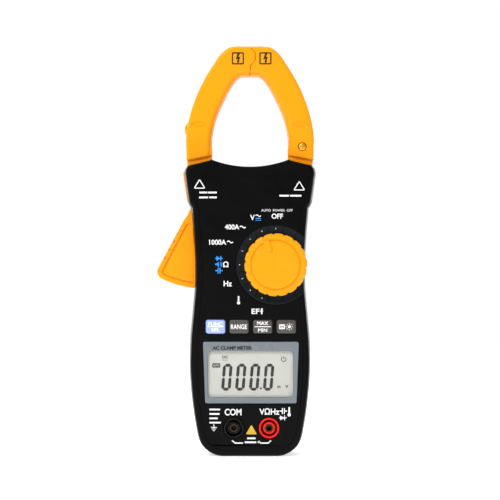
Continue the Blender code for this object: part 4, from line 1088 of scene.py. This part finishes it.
printed("border_title", [lettering("AC CLAMP METER", -11.7, 71.3, 2.4, 26.0, BORDER_FACE, 0.05)], "black_ink")

# %% Marks on the jaws
square = rounded(rectangle(-38.2, -31.0, 204.1, 211.3), 0.8)
emboss = [frame_mark(square, 0.7, -JAW_DEPTH - 0.08), bolt(-34.6, 207.7, 4.6, -JAW_DEPTH - 0.08)]
printed("left_jaw_relief", emboss, "yellow", "moving_jaw")
for side, body, x in (("left", "moving_jaw", -8.0), ("right", "case", 10.2)):
    square = rounded(rectangle(x - 4.05, x + 4.05, 257.95, 266.05), 0.9)
    pieces = [frame_mark(square, 0.95, -JAW_DEPTH), bolt(x, 262.0, 6.4, -JAW_DEPTH)]
    printed(f"{side}_jaw_mark", pieces, "black_ink", body)

# %% [markdown]
# ## Screws
# The screws are pan heads with a cross recess. The head is a turned profile, a shallow dome with a rounded
# rim, and two crossed slots are cut into it. The one in each jaw is zinc plated in yellow.


# %% Metals
def metal(name, colour, roughness):
    """Plated or drawn metal: fine lines that stretch along Y and change its colour and gloss."""
    finish = Finish(name, Metallic=1.0)
    stretched = finish.node("ShaderNodeMapping", None, {"Vector": finish.place, "Scale": (6.0, 0.3, 6.0)})
    lines = finish.noise(1.4, 4.0, 0.6, stretched)
    finish.colour(finish.mix(lines, shade(colour, 0.82), shade(colour, 1.08)))
    finish.roughness(roughness + lines * 0.1)
    finish.relief(lines, 0.004)
    return finish.material


for name, colour, roughness in (("bright_steel", (0.56, 0.57, 0.58), 0.26), ("yellow_zinc", (0.85, 0.47, 0.07), 0.36),
                                ("dark_brass", (0.1, 0.075, 0.04), 0.4), ("bush_brass", (0.72, 0.5, 0.2), 0.3)):
    finishes[name] = metal(name, colour, roughness)
print("4 metals")


# %% Screws
def cross_screw(name, centre, face, tip, body, node, finish="bright_steel", shank=1.2):
    """A head of radius 2.6 whose dome falls as r squared, on a plain shank that ends at the tip's depth."""
    inward = np.sign(tip - face)
    r = np.linspace(0.02, 2.25, 10)
    dome = np.stack([r, face + inward * 0.28 * (r / 2.25) ** 2], -1)
    rim = [(2.5, face + inward * 0.42), (2.6, face + inward * 0.6), (2.6, face + inward * 0.85)]
    stem = [(shank, face + inward * 0.95), (shank, tip - inward * 0.4), (shank * 0.5, tip), (0.02, tip)]
    profile = np.vstack([dome, rim, stem])
    head = turned(name, profile, centre, 64)
    slots = [plate("cutter", rectangle(-w, w, -h, h) + centre, *sorted((face - inward, face + inward * 0.6)))
             for w, h in ((0.3, 1.55), (1.55, 0.3))]
    fit(shape(head, cuts=slots), finish, body, [node])


cross_screw("right_jaw_screw_head", JAW_SCREW, -9.4, 6.8, "case", "fixed_jaw_screw", "yellow_zinc")
cross_screw("left_jaw_screw_head", (-JAW_SCREW[0], JAW_SCREW[1]), 9.4, -6.8, "moving_jaw", "moving_jaw_screw",
            "yellow_zinc")
cross_screw("cover_screw_head", COVER_SCREW, 18.05, 6.8, "cover", "battery_cover_screw", shank=1.0)
for i, centre in enumerate(CASE_SCREWS):
    cross_screw(f"case_screw_head_{i + 1}", centre, 15.3, -9.0, "case", f"case_screw_{i + 1}")

# %% [markdown]
# ## Inside
# The open jaws show the laminated cores and their coils, and the battery shows when its cover is off. These
# pieces keep their solids and get finishes: the core is a stack of thin sheets, so bands run across it, and
# the coil is wire wound in turns, so fine bands run round it.


# %% Finishes of the inner pieces
def banded(name, colour, pitch, direction, roughness, metallic, depth):
    """Bands across one direction: a sine wave of the given pitch in millimetres darkens and sinks the joints."""
    finish = Finish(name, Metallic=metallic)
    bands = finish.node("ShaderNodeTexWave", {"bands_direction": direction}, {
        "Vector": finish.place, "Scale": 0.314 / (pitch * MM), "Distortion": 0.4, "Detail": 2.0})
    finish.colour(finish.mix(bands, shade(colour, 0.55), colour))
    finish.roughness(roughness - bands * 0.1)
    finish.relief(bands, depth)
    return finish.material


def circuit_board():
    """Green lacquer over copper: straight tracks from a brick pattern show as a slightly lighter green."""
    finish = Finish("circuit_board")
    turned_place = finish.node("ShaderNodeMapping", None, {"Vector": finish.place, "Rotation": (math.pi / 2, 0, 0)})
    tracks = finish.node("ShaderNodeTexBrick", {"offset": 0.37}, {
        "Vector": turned_place, "Scale": 1.0, "Mortar Size": 0.00035, "Brick Width": 0.009, "Row Height": 0.0028,
        "Color1": (0, 0, 0, 1), "Color2": (0, 0, 0, 1), "Mortar": (1, 1, 1, 1)})
    finish.colour(finish.mix(tracks, (0.006, 0.075, 0.025), (0.02, 0.16, 0.05)))
    finish.roughness(0.36 + finish.noise(2.0) * 0.12)
    finish.relief(tracks, 0.03)
    return finish.material


finishes["laminated"] = banded("laminated_steel", (0.34, 0.34, 0.36), 0.5, "Y", 0.45, 1.0, 0.03)
finishes["winding"] = banded("copper_winding", (0.72, 0.28, 0.12), 0.35, "Z", 0.35, 1.0, 0.08)
finishes["board"] = circuit_board()
finishes["light_panel"] = moulded("light_guide_white", (0.82, 0.84, 0.85), 0.3, depth=0.004, drift=0.02)
finishes["battery"] = banded("battery_can", (0.16, 0.17, 0.2), 12.0, "Z", 0.34, 0.6, 0.02)

inner = {
    "laminated": ("moving_jaw_core", "fixed_jaw_core"), "winding": ("moving_jaw_coil", "fixed_jaw_coil"),
    "board": ("main_board",), "battery": ("battery",), "light_panel": ("backlight_panel",),
    "rubber": ("battery_snap", "buzzer", "keypad_mat", "lcd_connector", "measuring_chip"),
    "acetal": ("switch_rotor", "detent_ring"), "dark_brass": ("com_jack_contact", "volt_jack_contact"),
    "bush_brass": ("jaw_pivot_bush",),
    "bright_steel": ("jaw_pivot_pin", "jaw_return_spring", "detent_ball_1", "detent_ball_2", "detent_spring_1",
                     "detent_spring_2"),
}
for finish, nodes in inner.items():
    for node in nodes:
        solid_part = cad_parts[node]
        solid_part.data.materials.clear()
        solid_part.data.materials.append(finishes[finish])
print(sum(len(nodes) for nodes in inner.values()), "inner solids have finishes")
